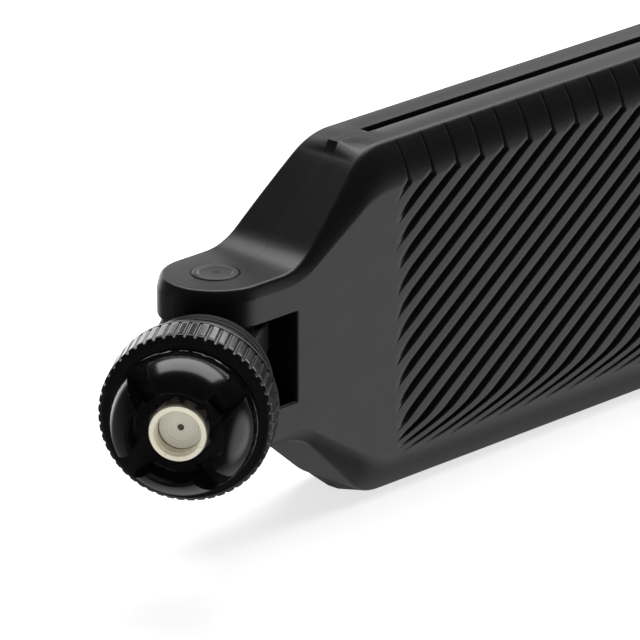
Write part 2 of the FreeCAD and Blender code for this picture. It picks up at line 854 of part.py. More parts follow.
def make_shell(name, side):
    """One moulded half of the blade: side is 1 for the front face and -1 for the rear."""
    body = new_body(name)
    joint = d.shell_gap / 2
    base = pad(body, shell_outline(), side * joint, side * joint + (d.blade_half_thickness - joint),
               reverse=side < 0)
    corners = ((d.neck_end, d.neck_round), (d.shoulder_at, d.neck_round), (d.blade_length, d.tip_round))
    for along, radius in corners:
        base = dress(body, "Fillet", base,
                     lambda edge, middle: is_upright(edge) and abs(middle.y - number(along)) < 1e-3,
                     Radius=radius)
    cut_facets(body, side)
    # rounded ends of the two ears, about the hinge
    radius = d.blade_half_thickness
    ears = []
    for face in (1, -1):
        ears.append([
            (0, face * d.ear_inner),
            (-radius, face * d.ear_inner),
            (-radius, face * (d.ear_outer - d.ear_edge)),
            (d.ear_edge - radius, face * d.ear_outer),
            (0, face * d.ear_outer),
        ])
    revolve(body, *ears, role="YZ_Plane", angle=90, reverse=side < 0)
    # hollow for the board and the cable, in two steps that follow the facets
    for wall, depth in ((d.edge_wall, d.edge_hollow), (d.face_margin, d.face_hollow)):
        pocket(body, [cavity_outline(wall)], side * joint, depth, towards_normal=side > 0)
    cylinder(body, "Subtractive", d.cable_way_radius, d.slot_floor - BEYOND, d.cavity_start + BEYOND)
    # the hinge pins' holes and the seats of their heads
    for low, high in ((d.ear_inner, d.ear_outer), (-d.ear_outer, -d.ear_inner)):
        cylinder(body, "Subtractive", d.pin_radius, low - BEYOND, high + BEYOND, "Z")
    seat_depth = d.ear_outer + BEYOND - d.pin_head_inner
    for low in (d.pin_head_inner, -(d.ear_outer + BEYOND)):
        cylinder(body, "Subtractive", d.pin_head_radius + d.end_gap, low, low + seat_depth, "Z")
    # half of the groove along the parting line of each long edge
    for low in (d.blade_half_width - d.parting_depth, -(d.blade_half_width + BEYOND)):
        box(body, "Subtractive", (-d.parting_half_width, d.parting_start, low),
            (d.parting_half_width, d.blade_length - d.tip_round, low + (d.parting_depth + BEYOND)))
    cut_grooves(body, side)
    put_on_hinge(body)


# ---- antenna board and cable ----


def rectangle(start, end, half):
    return [(start, -half), (end, -half), (end, half), (start, half)]


def make_antenna_board():
    body = new_body("antenna_board")
    notch = d.board_start + d.board_notch
    slot = d.coax_radius + d.end_gap
    pad(body, mirrored([(notch, slot), (d.board_start, slot), (d.board_start, d.board_half_width),
                        (d.board_end, d.board_half_width)]),
        -d.board_half_thickness, d.board_half_thickness)
    put_on_hinge(body)


def make_traces(name, side, first):
    """Copper on one face of the board: a feed line with a row of wide radiating patches."""
    body = new_body(name)
    low = d.board_half_thickness + d.trace_gap
    start = d.board_start + d.board_notch + d.line_start
    end = start + d.patch_pitch * d.patch_count
    line, wide = d.line_half_width, d.patch_half_width
    upper = [(start, line)]
    for index in range(first, int(number(d.patch_count)), 2):
        at = start + d.patch_pitch * index + d.patch_start
        upper += [(at, line), (at, wide), (at + d.patch_length, wide), (at + d.patch_length, line)]
    upper.append((end, line))
    pad(body, mirrored(upper), side * low, side * low + d.trace_thickness, reverse=side < 0)
    put_on_hinge(body)


def make_feed_solder():
    body = new_body("feed_solder")
    low = d.board_half_thickness + d.trace_gap + d.trace_thickness + d.trace_gap
    top = low + d.solder_height
    start = d.board_start + d.board_notch + d.solder_start
    half = d.solder_half_width
    lump = box(body, "Additive", (low, start, -half), (top, start + d.solder_length, half))
    dress(body, "Fillet", lump, lambda edge, middle: abs(middle.x - number(top)) < 1e-3,
          Radius=d.solder_round)
    put_on_hinge(body)


def make_coax_upper():
    body = new_body("coax_upper")
    cylinder(body, "Additive", d.coax_radius, d.coax_bend_reach + d.press_gap,
             d.board_start + d.board_notch - d.end_gap)
    put_on_hinge(body)


def make_heat_shrink():
    body = new_body("heat_shrink")
    inner, outer = d.coax_radius + d.fit_gap, d.shrink_radius
    revolve(body, [
        (inner, d.shrink_start),
        (outer, d.shrink_start),
        (outer, d.shrink_end),
        (inner, d.shrink_end),
    ])
    put_on_hinge(body)


def make_foam_pads():
    body = new_body("foam_pad")
    low = d.board_half_thickness + d.trace_thickness + d.face_gap
    high = d.foam_height
    half = d.foam_half_width
    pads = []
    for index in range(int(number(d.foam_count))):
        start = d.board_start + d.foam_start + d.foam_pitch * index
        pads.append(rectangle(start, start + d.foam_length, half))
    body.AllowCompound = True
    sketch = new_sketch(body, "YZ_Plane", low)
    for outline in pads:
        add_outline(sketch, outline)
    raised = body.newObject("PartDesign::Pad", "foam_pad_pad")
    raised.Profile = sketch
    bind(raised, "Length", high - low)
    put_on_hinge(pair_across(body, "foam_pads", Vector(1, 0, 0)))


def make_coax_lower():
    body = new_body("coax_lower")
    cylinder(body, "Additive", d.coax_radius, d.contact_back + d.coax_start,
             d.hinge_at - d.coax_bend_reach - d.press_gap)


def make_coax_hinge():
    """The cable's bend across the hinge: one arc, tangent to the base's axis and the blade's."""
    reach = number(d.coax_bend_reach)
    fold = math.radians(number(d.fold))
    radius = reach / math.tan(fold / 2)
    start = Vector(0, number(d.hinge_at) - reach, 0)
    centre = start + Vector(radius, 0, 0)
    crest = centre - Vector(math.cos(fold / 2), -math.sin(fold / 2), 0) * radius
    end = centre - Vector(math.cos(fold), -math.sin(fold), 0) * radius
    path = Part.Wire([Part.Arc(start, crest, end).toShape()])
    section = Part.Wire([Part.Circle(start, Vector(0, 1, 0), number(d.coax_radius)).toShape()])
    bend = doc.addObject("Part::Feature", "coax_hinge")
    bend.Label = "coax_hinge"
    bend.Shape = path.makePipeShell([section], True, True)
    nodes.append(bend)


# ---- the whole antenna ----


def make_everything():
    make_outer_contact_sleeve()
    make_dielectric()
    make_centre_contact()
    make_face_gasket()
    make_nut_snap_ring()
    make_swivel_spindle()
    make_crimp_ferrule()
    make_spindle_clip()
    make_coupling_nut()
    make_grip_crown()
    make_knurled_collar()
    make_swivel_washer()
    make_friction_ring()
    make_swivel_barrel()
    make_hinge_tongue()
    make_hinge_pins()
    make_hinge_caps()
    make_friction_washers()
    make_shell("front_shell", 1)
    make_shell("rear_shell", -1)
    make_antenna_board()
    make_traces("front_traces", 1, 0)
    make_traces("rear_traces", -1, 1)
    make_feed_solder()
    make_coax_lower()
    make_coax_hinge()
    make_coax_upper()
    make_heat_shrink()
    make_foam_pads()


def check_everything():
    for thing in doc.Objects:
        bad = {"Invalid", "Error"} & set(thing.State)
        assert not bad, f"{thing.Name} is {bad}"
    for node in nodes:
        assert not node.Shape.isNull() and node.Shape.isValid(), f"{node.Label} has no valid shape"


def write_everything():
    os.makedirs("parts", exist_ok=True)
    for node in nodes:
        node.Shape.exportStep(f"parts/{node.Label}.step")
        print(f"{node.Label}: {node.Shape.Volume:.1f} mm3, {len(node.Shape.Solids)} solid(s)")


make_everything()
doc.recompute()
check_everything()
write_everything()
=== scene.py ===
"""Looks of a flat ribbed paddle antenna: black blade, knurled coupling head and coaxial plug.

Sizes are in millimetres and turn to metres where a mesh is made. Blade shapes are worked out in
the blade's own axes: n out of the front face, s along the blade from the hinge, z across it.
The head is turned about the plug's axis, which is Y.
"""

import json
import math

import bmesh
import bpy
import numpy as np
from mathutils import Matrix, Vector


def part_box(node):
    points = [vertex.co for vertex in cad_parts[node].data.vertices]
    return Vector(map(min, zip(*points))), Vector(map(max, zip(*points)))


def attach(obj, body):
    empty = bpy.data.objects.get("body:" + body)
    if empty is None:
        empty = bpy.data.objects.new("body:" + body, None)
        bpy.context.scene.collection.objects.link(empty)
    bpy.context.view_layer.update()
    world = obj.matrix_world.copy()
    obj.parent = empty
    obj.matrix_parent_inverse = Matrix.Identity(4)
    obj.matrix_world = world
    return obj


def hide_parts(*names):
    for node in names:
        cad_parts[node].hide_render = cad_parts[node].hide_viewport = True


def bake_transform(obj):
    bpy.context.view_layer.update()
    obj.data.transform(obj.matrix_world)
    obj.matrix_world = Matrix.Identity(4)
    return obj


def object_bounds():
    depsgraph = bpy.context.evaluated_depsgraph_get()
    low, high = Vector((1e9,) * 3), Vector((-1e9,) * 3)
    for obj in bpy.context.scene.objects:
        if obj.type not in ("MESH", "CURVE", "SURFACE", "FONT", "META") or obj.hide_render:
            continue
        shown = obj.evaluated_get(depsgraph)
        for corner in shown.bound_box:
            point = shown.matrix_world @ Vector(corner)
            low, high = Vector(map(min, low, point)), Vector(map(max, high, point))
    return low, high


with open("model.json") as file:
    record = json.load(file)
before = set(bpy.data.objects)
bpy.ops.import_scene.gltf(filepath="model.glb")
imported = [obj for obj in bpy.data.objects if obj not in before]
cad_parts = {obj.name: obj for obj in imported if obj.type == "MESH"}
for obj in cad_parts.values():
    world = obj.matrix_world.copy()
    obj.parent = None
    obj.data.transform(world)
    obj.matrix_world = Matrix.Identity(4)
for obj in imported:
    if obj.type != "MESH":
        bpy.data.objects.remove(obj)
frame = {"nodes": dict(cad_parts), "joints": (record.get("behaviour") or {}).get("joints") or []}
cad_low, cad_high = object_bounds()

MM = 0.001
scene = bpy.context.scene


# ---- where things are ----


def node_points(name):
    """The vertices of a CAD node, in millimetres."""
    mesh = frame["nodes"][name].data
    points = np.empty(len(mesh.vertices) * 3)
    mesh.vertices.foreach_get("co", points)
    return points.reshape(-1, 3) / MM


def span(name, axis):
    """Lowest and highest place of a CAD node along an axis, in millimetres."""
    low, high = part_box(name)
    return low[axis] / MM, high[axis] / MM


def radii(name):
    """Distances of a CAD node's vertices from the plug's axis."""
    points = node_points(name)
    return np.hypot(points[:, 0], points[:, 2])


tilt = next(joint for joint in frame["joints"] if joint["name"] == "blade_tilt")
HINGE = np.array(tilt["pos_m"]) / MM
FOLD = math.radians(-tilt["range_deg"][0])
BLADE_AXES = np.array([
    [math.cos(FOLD), -math.sin(FOLD), 0.0],
    [math.sin(FOLD), math.cos(FOLD), 0.0],
    [0.0, 0.0, 1.0],
])


def blade_matrix():
    """From blade axes in millimetres to the row frame in metres."""
    turn = Matrix([[*row] for row in BLADE_AXES.T.tolist()]).to_4x4()
    return Matrix.Translation(Vector(HINGE * MM)) @ turn @ Matrix.Scale(MM, 4)


shell_points = (node_points("front_shell") - HINGE) @ BLADE_AXES.T
HALF_THICK = shell_points[:, 0].max()
LENGTH = shell_points[:, 1].max()
HALF_WIDE = shell_points[:, 2].max()


# ---- meshes ----


def link(name, mesh):
    thing = bpy.data.objects.new(name, mesh)
    scene.collection.objects.link(thing)
    return thing


def from_bmesh(name, shape, matrix=None):
    """Make an object of a bmesh whose lengths are millimetres."""
    mesh = bpy.data.meshes.new(name)
    shape.to_mesh(mesh)
    shape.free()
    mesh.transform(matrix if matrix is not None else Matrix.Scale(MM, 4))
    return link(name, mesh)


def from_arrays(points, faces):
    mesh = bpy.data.meshes.new("draft")
    mesh.from_pydata(np.asarray(points).tolist(), [], [list(face) for face in faces])
    shape = bmesh.new()
    shape.from_mesh(mesh)
    bpy.data.meshes.remove(mesh)
    return shape


def clean(shape, distance=1e-4):
    bmesh.ops.remove_doubles(shape, verts=shape.verts, dist=distance)
    bmesh.ops.dissolve_degenerate(shape, edges=shape.edges, dist=distance)


def settle(thing):
    """Apply a piece's modifiers to its mesh."""
    evaluated = thing.evaluated_get(bpy.context.evaluated_depsgraph_get())
    mesh = bpy.data.meshes.new_from_object(evaluated)
    old = thing.data
    thing.modifiers.clear()
    thing.data = mesh
    bpy.data.meshes.remove(old)
    return thing


def cut(thing, *tools):
    """Take the tools' volumes away from a piece."""
    for tool in tools:
        modifier = thing.modifiers.new("cut", "BOOLEAN")
        modifier.operation = "DIFFERENCE"
        modifier.solver = "EXACT"
        modifier.object = tool
    bpy.context.view_layer.update()
    settle(thing)
    for tool in tools:
        mesh = tool.data
        bpy.data.objects.remove(tool)
        bpy.data.meshes.remove(mesh)
    return thing


def round_edges(thing, width, segments=2, angle=30):
    """Round a piece's edges that are sharper than the angle."""
    modifier = thing.modifiers.new("rounded", "BEVEL")
    modifier.width = width * MM
    modifier.segments = segments
    modifier.limit_method = "ANGLE"
    modifier.angle_limit = math.radians(angle)
    modifier.harden_normals = False
    bpy.context.view_layer.update()
    return settle(thing)


def smooth(thing, angle=35):
    """Shade smooth, with creases where faces meet at more than the angle."""
    mesh = thing.data
    mesh.polygons.foreach_set("use_smooth", [True] * len(mesh.polygons))
    mesh.set_sharp_from_angle(angle=math.radians(angle))
    return thing


def lathe(outline, steps=128):
    """Turn a closed outline of (radius, y) points about the Y axis."""
    outline = np.array(outline, float)
    angles = np.arange(steps) * 2 * math.pi / steps
    radius, along = outline[:, 0], outline[:, 1]
    points = np.stack([
        np.outer(np.cos(angles), radius),
        np.tile(along, (steps, 1)),
        np.outer(np.sin(angles), radius),
    ], axis=-1).reshape(-1, 3)
    count = len(outline)
    faces = []
    for i in range(steps):
        for j in range(count):
            a, b = i * count + j, i * count + (j + 1) % count
            shift = ((i + 1) % steps - i) * count
            faces.append((a, b, b + shift, a + shift))
    shape = from_arrays(points, faces)
    clean(shape, 1e-5)
    bmesh.ops.recalc_face_normals(shape, faces=shape.faces)
    return shape


def prism(outline, low, high, axes=(1, 2, 0)):
    """Raise an outline from low to high. axes names where its x, its y and the height go."""
    points = []
    for height in (low, high):
        for x, y in outline:
            point = [0.0, 0.0, 0.0]
            point[axes[0]], point[axes[1]], point[axes[2]] = x, y, height
            points.append(point)
    count = len(outline)
    faces = [tuple(range(count)), tuple(range(count, 2 * count))]
    faces += [(i, (i + 1) % count, count + (i + 1) % count, count + i) for i in range(count)]
    shape = from_arrays(points, faces)
    bmesh.ops.recalc_face_normals(shape, faces=shape.faces)
    return shape


def circle(radius, steps=64, centre=(0, 0)):
    return [(centre[0] + radius * math.cos(2 * math.pi * i / steps),
             centre[1] + radius * math.sin(2 * math.pi * i / steps)) for i in range(steps)]


def arc_points(start, end, radius, steps):
    """Points from start to end on an arc that bulges to the left of the way."""
    start, end = np.array(start, float), np.array(end, float)
    way = end - start
    half = np.linalg.norm(way) / 2
    left = np.array([-way[1], way[0]]) / (2 * half)
    centre = (start + end) / 2 - left * math.sqrt(radius**2 - half**2)
    first = math.atan2(*(start - centre)[::-1])
    last = math.atan2(*(end - centre)[::-1])
    turn = (last - first + math.pi) % (2 * math.pi) - math.pi
    angles = first + turn * np.linspace(0, 1, steps + 1)
    return [(centre[0] + radius * math.cos(angle), centre[1] + radius * math.sin(angle))
            for angle in angles]


# ---- materials ----

# how many features of a pattern there are to a metre
BODY_CLOUDS = 60.0
WEAR_SPOTS = 900.0
GLOSS_PATCHES = 220.0
FLOW_WAVES = 35.0
TARNISH_CLOUDS = 350.0
TURNING_MARKS = 1500.0
SOFT_CLOUDS = 700.0
# how high a pattern stands, in metres
FLOW_HEIGHT = 4e-5
TURNING_HEIGHT = 4e-6
TURNING_STRETCH = (1.0, 14.0, 1.0)
# where an edge starts to count as standing out, and where it does fully
EDGE_SHARPNESS = (0.51, 0.60)
# painted shade on the nut's flanks, in place of the black crown they mirror: how much of the
# plating's colour is left, and over how many metres it sets in
PAINTED_SHADE_TONE = 0.12
PAINTED_SHADE_FADE = 1.5e-4


class Nodes:
    """Builds a material's nodes with short calls."""

    def __init__(self, name):
        self.material = bpy.data.materials.new(name)
        self.material.use_nodes = True
        self.tree = self.material.node_tree
        self.shader = self.tree.nodes["Principled BSDF"]
        self.coordinates = self.tree.nodes.new("ShaderNodeTexCoord").outputs["Object"]

    def link(self, source, target):
        self.tree.links.new(source, target)

    def noise(self, scale, detail=3.0, roughness=0.55, stretch=None):
        """Noise with so many features to a metre, from 0 to 1."""
        node = self.tree.nodes.new("ShaderNodeTexNoise")
        node.inputs["Scale"].default_value = scale
        node.inputs["Detail"].default_value = detail
        node.inputs["Roughness"].default_value = roughness
        source = self.coordinates
        if stretch:
            mapping = self.tree.nodes.new("ShaderNodeMapping")
            mapping.inputs["Scale"].default_value = stretch
            self.link(source, mapping.inputs["Vector"])
            source = mapping.outputs["Vector"]
        self.link(source, node.inputs["Vector"])
        return node.outputs["Fac"]

    def ramp(self, source, low, high, from_low=0.0, from_high=1.0):
        """Turn a number's range into another range."""
        node = self.tree.nodes.new("ShaderNodeMapRange")
        node.clamp = True
        for socket, value in zip(node.inputs[1:5], (from_low, from_high, low, high)):
            socket.default_value = value
        self.link(source, node.inputs["Value"])
        return node.outputs["Result"]

    def join(self, operation, first, second):
        node = self.tree.nodes.new("ShaderNodeMath")
        node.operation = operation
        for socket, value in zip(node.inputs, (first, second)):
            if isinstance(value, (int, float)):
                socket.default_value = value
            else:
                self.link(value, socket)
        return node.outputs["Value"]

    def mix(self, factor, first, second):
        """Mix two colours. Each is a tuple or a socket."""
        node = self.tree.nodes.new("ShaderNodeMix")
        node.data_type = "RGBA"
        self.link(factor, node.inputs["Factor"])
        for socket, value in ((node.inputs[6], first), (node.inputs[7], second)):
            if isinstance(value, tuple):
                socket.default_value = (*value, 1)
            else:
                self.link(value, socket)
        return node.outputs[2]

    def from_axis(self):
        """Distance from the plug's axis, in metres."""
        node = self.tree.nodes.new("ShaderNodeSeparateXYZ")
        self.link(self.coordinates, node.inputs[0])
        squares = [self.join("POWER", node.outputs[axis], 2.0) for axis in ("X", "Z")]
        return self.join("SQRT", self.join("ADD", *squares), 0.0)

    def edges(self):
        """0 in hollows and on flats, 1 on edges that stand out."""
        node = self.tree.nodes.new("ShaderNodeNewGeometry")
        return self.ramp(node.outputs["Pointiness"], 0.0, 1.0, *EDGE_SHARPNESS)

    def bump(self, *layers):
        """Bump from (height, distance in metres) layers."""
        normal = None
        for height, distance in layers:
            node = self.tree.nodes.new("ShaderNodeBump")
            node.inputs["Strength"].default_value = 1.0
            node.inputs["Distance"].default_value = distance
            self.link(height, node.inputs["Height"])
            if normal is not None:
                self.link(normal, node.inputs["Normal"])
            normal = node.outputs["Normal"]
        self.link(normal, self.shader.inputs["Normal"])

    def finish(self, colour, roughness, metallic=0.0):
        inputs = self.shader.inputs
        self.link(colour, inputs["Base Color"])
        self.link(roughness, inputs["Roughness"])
        inputs["Metallic"].default_value = metallic
        return self.material


def plastic(name, colour, roughness, grain=2e-5, grain_scale=5000.0, wear=0.5):
    """Moulded plastic: fine grain, faint flow marks, edges that are rubbed a little lighter."""
    nodes = Nodes(name)
    cloud = nodes.noise(BODY_CLOUDS)
    fine = nodes.noise(grain_scale, detail=2.0)
    dark = tuple(channel * 0.8 for channel in colour)
    light = tuple(channel * 1.25 for channel in colour)
    body = nodes.mix(cloud, dark, light)
    spots = nodes.ramp(nodes.noise(WEAR_SPOTS), 0.0, wear, 0.35, 0.65)
    worn = nodes.join("MULTIPLY", nodes.edges(), spots)
    rubbed = tuple(min(1.0, channel * 2.2 + 0.01) for channel in colour)
    body = nodes.mix(worn, body, rubbed)
    patchy = nodes.ramp(nodes.noise(GLOSS_PATCHES), roughness * 0.88, roughness * 1.12)
    rough = nodes.join("ADD", patchy, nodes.ramp(fine, -0.03, 0.03))
    nodes.bump((nodes.noise(FLOW_WAVES, detail=1.0), FLOW_HEIGHT), (fine, grain))
    return nodes.finish(body, rough)


def metal(name, colour, roughness, on_axis=True, shine=1.0, painted_shade_from=None):
    """Plated metal: cloudy tarnish and faint marks, round the plug's axis where it is turned on it.

    Less shine is a satin plating. Where a radius is given, in metres, the plating further from the
    axis has painted shade, which stands in for the black crown mirrored in the nut's flanks and the
    shade of the crown's recess.
    """
    nodes = Nodes(name)
    cloud = nodes.noise(TARNISH_CLOUDS)
    dull = tuple(channel * 0.85 for channel in colour)
    body = nodes.mix(cloud, dull, colour)
    # painted shade: plating far from the axis is darkened to stand in for the black crown mirrored
    # in the nut's flanks
    if painted_shade_from:
        shade_colour = tuple(channel * PAINTED_SHADE_TONE for channel in colour)
        far = nodes.ramp(nodes.from_axis(), 0.0, 1.0, painted_shade_from, painted_shade_from + PAINTED_SHADE_FADE)
        body = nodes.mix(far, body, shade_colour)
    marks = nodes.noise(TURNING_MARKS, detail=2.0, stretch=TURNING_STRETCH if on_axis else None)
    rough = nodes.ramp(marks, roughness * 0.75, roughness * 1.3)
    nodes.bump((marks, TURNING_HEIGHT))
    return nodes.finish(body, rough, metallic=shine)


def soft(name, colour, roughness, grain=1e-5, grain_scale=6000.0):
    """An unfilled plastic or rubber, a little cloudy."""
    nodes = Nodes(name)
    body = nodes.mix(nodes.noise(SOFT_CLOUDS), tuple(channel * 0.93 for channel in colour), colour)
    fine = nodes.noise(grain_scale, detail=1.0)
    nodes.bump((fine, grain))
    return nodes.finish(body, nodes.ramp(fine, roughness * 0.9, roughness * 1.1))


MATERIALS = {
    # the nut's flanks beyond 3.98 mm from the axis get painted shade
    "nickel": metal("nickel", (0.95, 0.89, 0.73), 0.3, shine=0.35, painted_shade_from=3.98e-3),
    "pale_plate": soft("pale_plate", (0.47, 0.44, 0.37), 0.4),
    "ptfe": soft("ptfe", (0.44, 0.42, 0.355), 0.42),
    "silicone": soft("silicone", (0.42, 0.40, 0.335), 0.5),
    "head_black": plastic("head_black", (0.002, 0.002, 0.002), 0.16, grain=2e-6, wear=0.2),
    "collar_black": plastic("collar_black", (0.003, 0.003, 0.003), 0.2, grain=4e-6, wear=0.4),
    "base_black": plastic("base_black", (0.0035, 0.0035, 0.0035), 0.42),
    "shell_black": plastic("shell_black", (0.0035, 0.0035, 0.0035), 0.34),
    "steel": metal("steel", (0.56, 0.56, 0.57), 0.28),
    "nylon": soft("nylon", (0.78, 0.77, 0.72), 0.45),
    "nitrile": soft("nitrile", (0.03, 0.03, 0.03), 0.6),
    "board": soft("board", (0.05, 0.17, 0.07), 0.4),
    "copper": metal("copper", (0.78, 0.46, 0.28), 0.3, on_axis=False),
    "solder": metal("solder", (0.62, 0.62, 0.62), 0.35, on_axis=False),
    "cable": soft("cable", (0.2, 0.1, 0.05), 0.4),
    "shrink": soft("shrink", (0.02, 0.02, 0.02), 0.55),
    "foam": soft("foam", (0.12, 0.12, 0.125), 0.9, grain=2e-4, grain_scale=1500.0),
}


def dress(thing, slot):
    thing.data.materials.clear()
    thing.data.materials.append(MATERIALS[slot])
    for polygon in thing.data.polygons:
        polygon.material_index = 0
    return thing


def piece(thing, slot, body, *nodes):
    """Finish a new piece: its material, the body it rides on and the CAD nodes it stands for."""
    dress(thing, slot)
    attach(thing, body)
    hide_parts(*nodes)
    return thing


# ---- blade shells ----

EAR_INNER = 6.6
EAR_OUTER = 12.4
SLOT_FLOOR = 7.8
NECK_END = 9.0
SHOULDER = 24.0
NECK_ROUND = 9.0
TIP_ROUND = 8.0
FACET_WIDTH = 6.2
FACET_DROP = 3.0
FACET_EASE = 0.4
EDGE_ROUND = 0.4
SLOT_ROUND = 0.3
PARTING = 0.02
PARTING_START = 29.5
PARTING_WIDTH = 0.85
PARTING_DEPTH = 1.1
FIELD_START = 28.0
RIB_PITCH = 5.0
RIB_SLOPE = math.radians(35.0)
RIB_FOOT = 31.0
RIB_FOOT_Z = -19.8
CURVE_START = -15.5
CURVE_SLOPE = math.radians(11.0)
LINE_HALF = 0.28
LINE_DEPTH = 0.22
# a groove's section: each place across it and the depth there. The ribs' lower flanks are rounded.
GROOVE = (
    (-1.3, 0.0), (-1.12, 0.03), (-0.92, 0.12), (-0.72, 0.26), (-0.52, 0.45), (-0.38, 0.64),
    (-0.27, 0.86), (-0.17, 0.98), (0.0, 1.0), (0.1, 0.98), (0.16, 0.8), (0.22, 0.3), (0.27, 0.07),
    (0.34, 0.0),
)
GROOVE_PLACES, GROOVE_DEPTHS = zip(*GROOVE)
RIB_ROWS = (0.8, 1.2, 1.7, 2.2)
# grooves and lines start and end between these distances from the field's two ends
FIELD_FADE = (0.5, 4.0)
# mesh lines along the blade: in from its edge, at the ribs' foot, and out from the ears' inner side
EDGE_ROWS = (
    0, 0.03, 0.1, 0.22, 0.4, 0.8, 1.5, 2.3, 3.1, 3.9, 4.6, 4.95, 5.25, 5.55, 5.85, 6.2, 6.5, 6.8,
    7.1,
)
FOOT_ROWS = tuple(np.arange(15.0, 19.0, 0.8))
EAR_ROWS = (1.2, 0.75, 0.3, 0.1, 0)
# mesh lines along the neck, and angles round the tip's corners
NECK_STATIONS = (0, 1.5, 3, 4.5, 6, 7.2, SLOT_FLOOR, 7.83, 7.93, 8.1, 8.5, 9.2)
NECK_STEP = 0.75
TIP_ANGLES = (
    0, 5, 10, 14, 17, 19, 20.5, 22, 25, 30, 38, 46, 54, 60, 65, 69.6, 73, 77, 80.5, 84, 87, 90,
)
# the step beside the parting line: height above it, and how far in from the blade's edge
PARTING_STEPS = (
    (PARTING_WIDTH + 0.12, 0.0), (PARTING_WIDTH + 0.03, 0.03), (PARTING_WIDTH, 0.12),
    (PARTING_WIDTH - 0.02, PARTING_DEPTH), (PARTING, PARTING_DEPTH),
)
PARTING_FADE = 2.0

FIELD_END = LENGTH - TIP_ROUND
KINK = HALF_WIDE - FACET_WIDTH
NECK_ANGLE = math.atan2(HALF_WIDE - EAR_OUTER, SHOULDER - NECK_END)
NECK_TANGENT = NECK_ROUND * math.tan(NECK_ANGLE / 2)


def smoothstep(low, high, x):
    t = np.clip((x - low) / (high - low), 0, 1)
    return t * t * (3 - 2 * t)


def half_width(s):
    """Half the blade's width at s: straight ears, a neck with rounded corners, parallel sides."""
    s = np.asarray(s, float)
    first = NECK_END - NECK_TANGENT
    last = SHOULDER + NECK_TANGENT
    reach = NECK_ROUND * math.sin(NECK_ANGLE)
    rise = math.tan(NECK_ANGLE)
    inner = EAR_OUTER + NECK_ROUND - np.sqrt(NECK_ROUND**2 - np.clip(s - first, 0, reach) ** 2)
    slant = EAR_OUTER + (s - NECK_END) * rise
    outer = HALF_WIDE - NECK_ROUND + np.sqrt(NECK_ROUND**2 - np.clip(last - s, 0, reach) ** 2)
    wide = np.where(s < first + reach, inner, np.where(s < last - reach, slant, outer))
    past = np.clip(s - FIELD_END, 0, TIP_ROUND)
    return wide - TIP_ROUND + np.sqrt(TIP_ROUND**2 - past**2)


def border_distance(s, z):
    """Distance from a point on the broad face to the blade's outline."""
    across = np.abs(z)
    dx, dz = s - FIELD_END, across - (HALF_WIDE - TIP_ROUND)
    corner = np.hypot(np.clip(dx, 0, None), np.clip(dz, 0, None))
    tip = TIP_ROUND - corner - np.minimum(np.maximum(dx, dz), 0)
    wide = half_width(np.clip(s, 0, FIELD_END))
    side = wide - across
    return np.where(s > FIELD_START, tip, side)


def soft_min(a, b, k):
    h = np.clip(0.5 + 0.5 * (b - a) / k, 0, 1)
    return b * (1 - h) + a * h - k * h * (1 - h)


def quarter_round(distance, radius):
    inside = np.clip(radius - distance, 0, radius)
    return radius - np.sqrt(np.clip(radius**2 - inside**2, 0, None))


def plain_height(s, z):
    """Height of the smooth broad face, with its facets and rounded borders."""
    edge = border_distance(s, z)
    share = (half_width(np.clip(s, 0, FIELD_END)) - EAR_INNER) / (HALF_WIDE - EAR_INNER)
    down = np.clip(share - edge / FACET_WIDTH, 0, 1)
    height = HALF_THICK - FACET_DROP * down * (FACET_EASE + (1 - FACET_EASE) * down)
    height -= quarter_round(edge, EDGE_ROUND)
    slot = np.where(s <= SLOT_FLOOR, np.abs(z) - EAR_INNER, np.hypot(
        np.clip(np.abs(z) - EAR_INNER, 0, None), s - SLOT_FLOOR))
    return height - quarter_round(np.clip(slot, 0, None), SLOT_ROUND)


def lean(z):
    """How far along the blade a rib has come at z, from where it is at z = 0."""
    straight = 1 / math.tan(RIB_SLOPE)
    flat = 1 / math.tan(CURVE_SLOPE)
    middle = np.clip(z, CURVE_START, KINK) * straight
    below = np.clip(CURVE_START - z, 0, None)
    over = np.clip(CURVE_START + KINK, 0, None)
    grow = (flat - straight) / over
    bent = np.minimum(below, over)
    return middle - (straight * below + grow * bent**2 / 2 + grow * over * (below - bent))


def in_field(s):
    """1 on the ribbed field, and 0 towards its two ends."""
    near, far = FIELD_FADE
    start = smoothstep(FIELD_START + near, FIELD_START + far, s)
    return start * (1 - smoothstep(FIELD_END - far, FIELD_END - near, s))


def groove(offset, s, z):
    """Depth of the grooves below the broad face, offset being the way along s from a groove."""
    depth = np.interp(offset * math.sin(RIB_SLOPE), GROOVE_PLACES, GROOVE_DEPTHS)
    foot = smoothstep(-KINK - 1.2, CURVE_START - 0.5, z)
    top = 1 - smoothstep(KINK - 0.9, KINK + 1.3, z)
    return depth * in_field(s) * foot * top


def facet_line(offset, s, z):
    """Depth of the thin lines that carry the grooves on over the upper facet."""
    depth = LINE_DEPTH * np.clip(1 - np.abs(offset) / LINE_HALF, 0, 1)
    foot = smoothstep(KINK - 0.8, KINK + 0.4, z)
    top = 1 - smoothstep(HALF_WIDE - 0.7, HALF_WIDE - 0.3, z)
    return depth * in_field(s) * foot * top


def rows():
    """Places across the full-width blade where its mesh has a line along it."""
    upper = [HALF_WIDE - x for x in EDGE_ROWS]
    upper += list(np.linspace(HALF_WIDE - 7.7, EAR_INNER + 2.0, 10))
    upper += [EAR_INNER + x for x in EAR_ROWS]
    inner = list(np.linspace(-EAR_INNER, EAR_INNER, 12))[1:-1]
    lower = [-x for x in upper] + [-x for x in FOOT_ROWS]
    return np.array(sorted(set(np.round(upper + inner + lower, 4))))


def grid(count_a, count_b, keep=None):
    """Faces of a grid of count_a by count_b points, numbered along b first."""
    a, b = np.meshgrid(np.arange(count_a - 1), np.arange(count_b - 1), indexing="ij")
    corner = a * count_b + b
    faces = np.stack([corner, corner + count_b, corner + count_b + 1, corner + 1], axis=-1)
    return faces[keep] if keep is not None else faces.reshape(-1, 4)


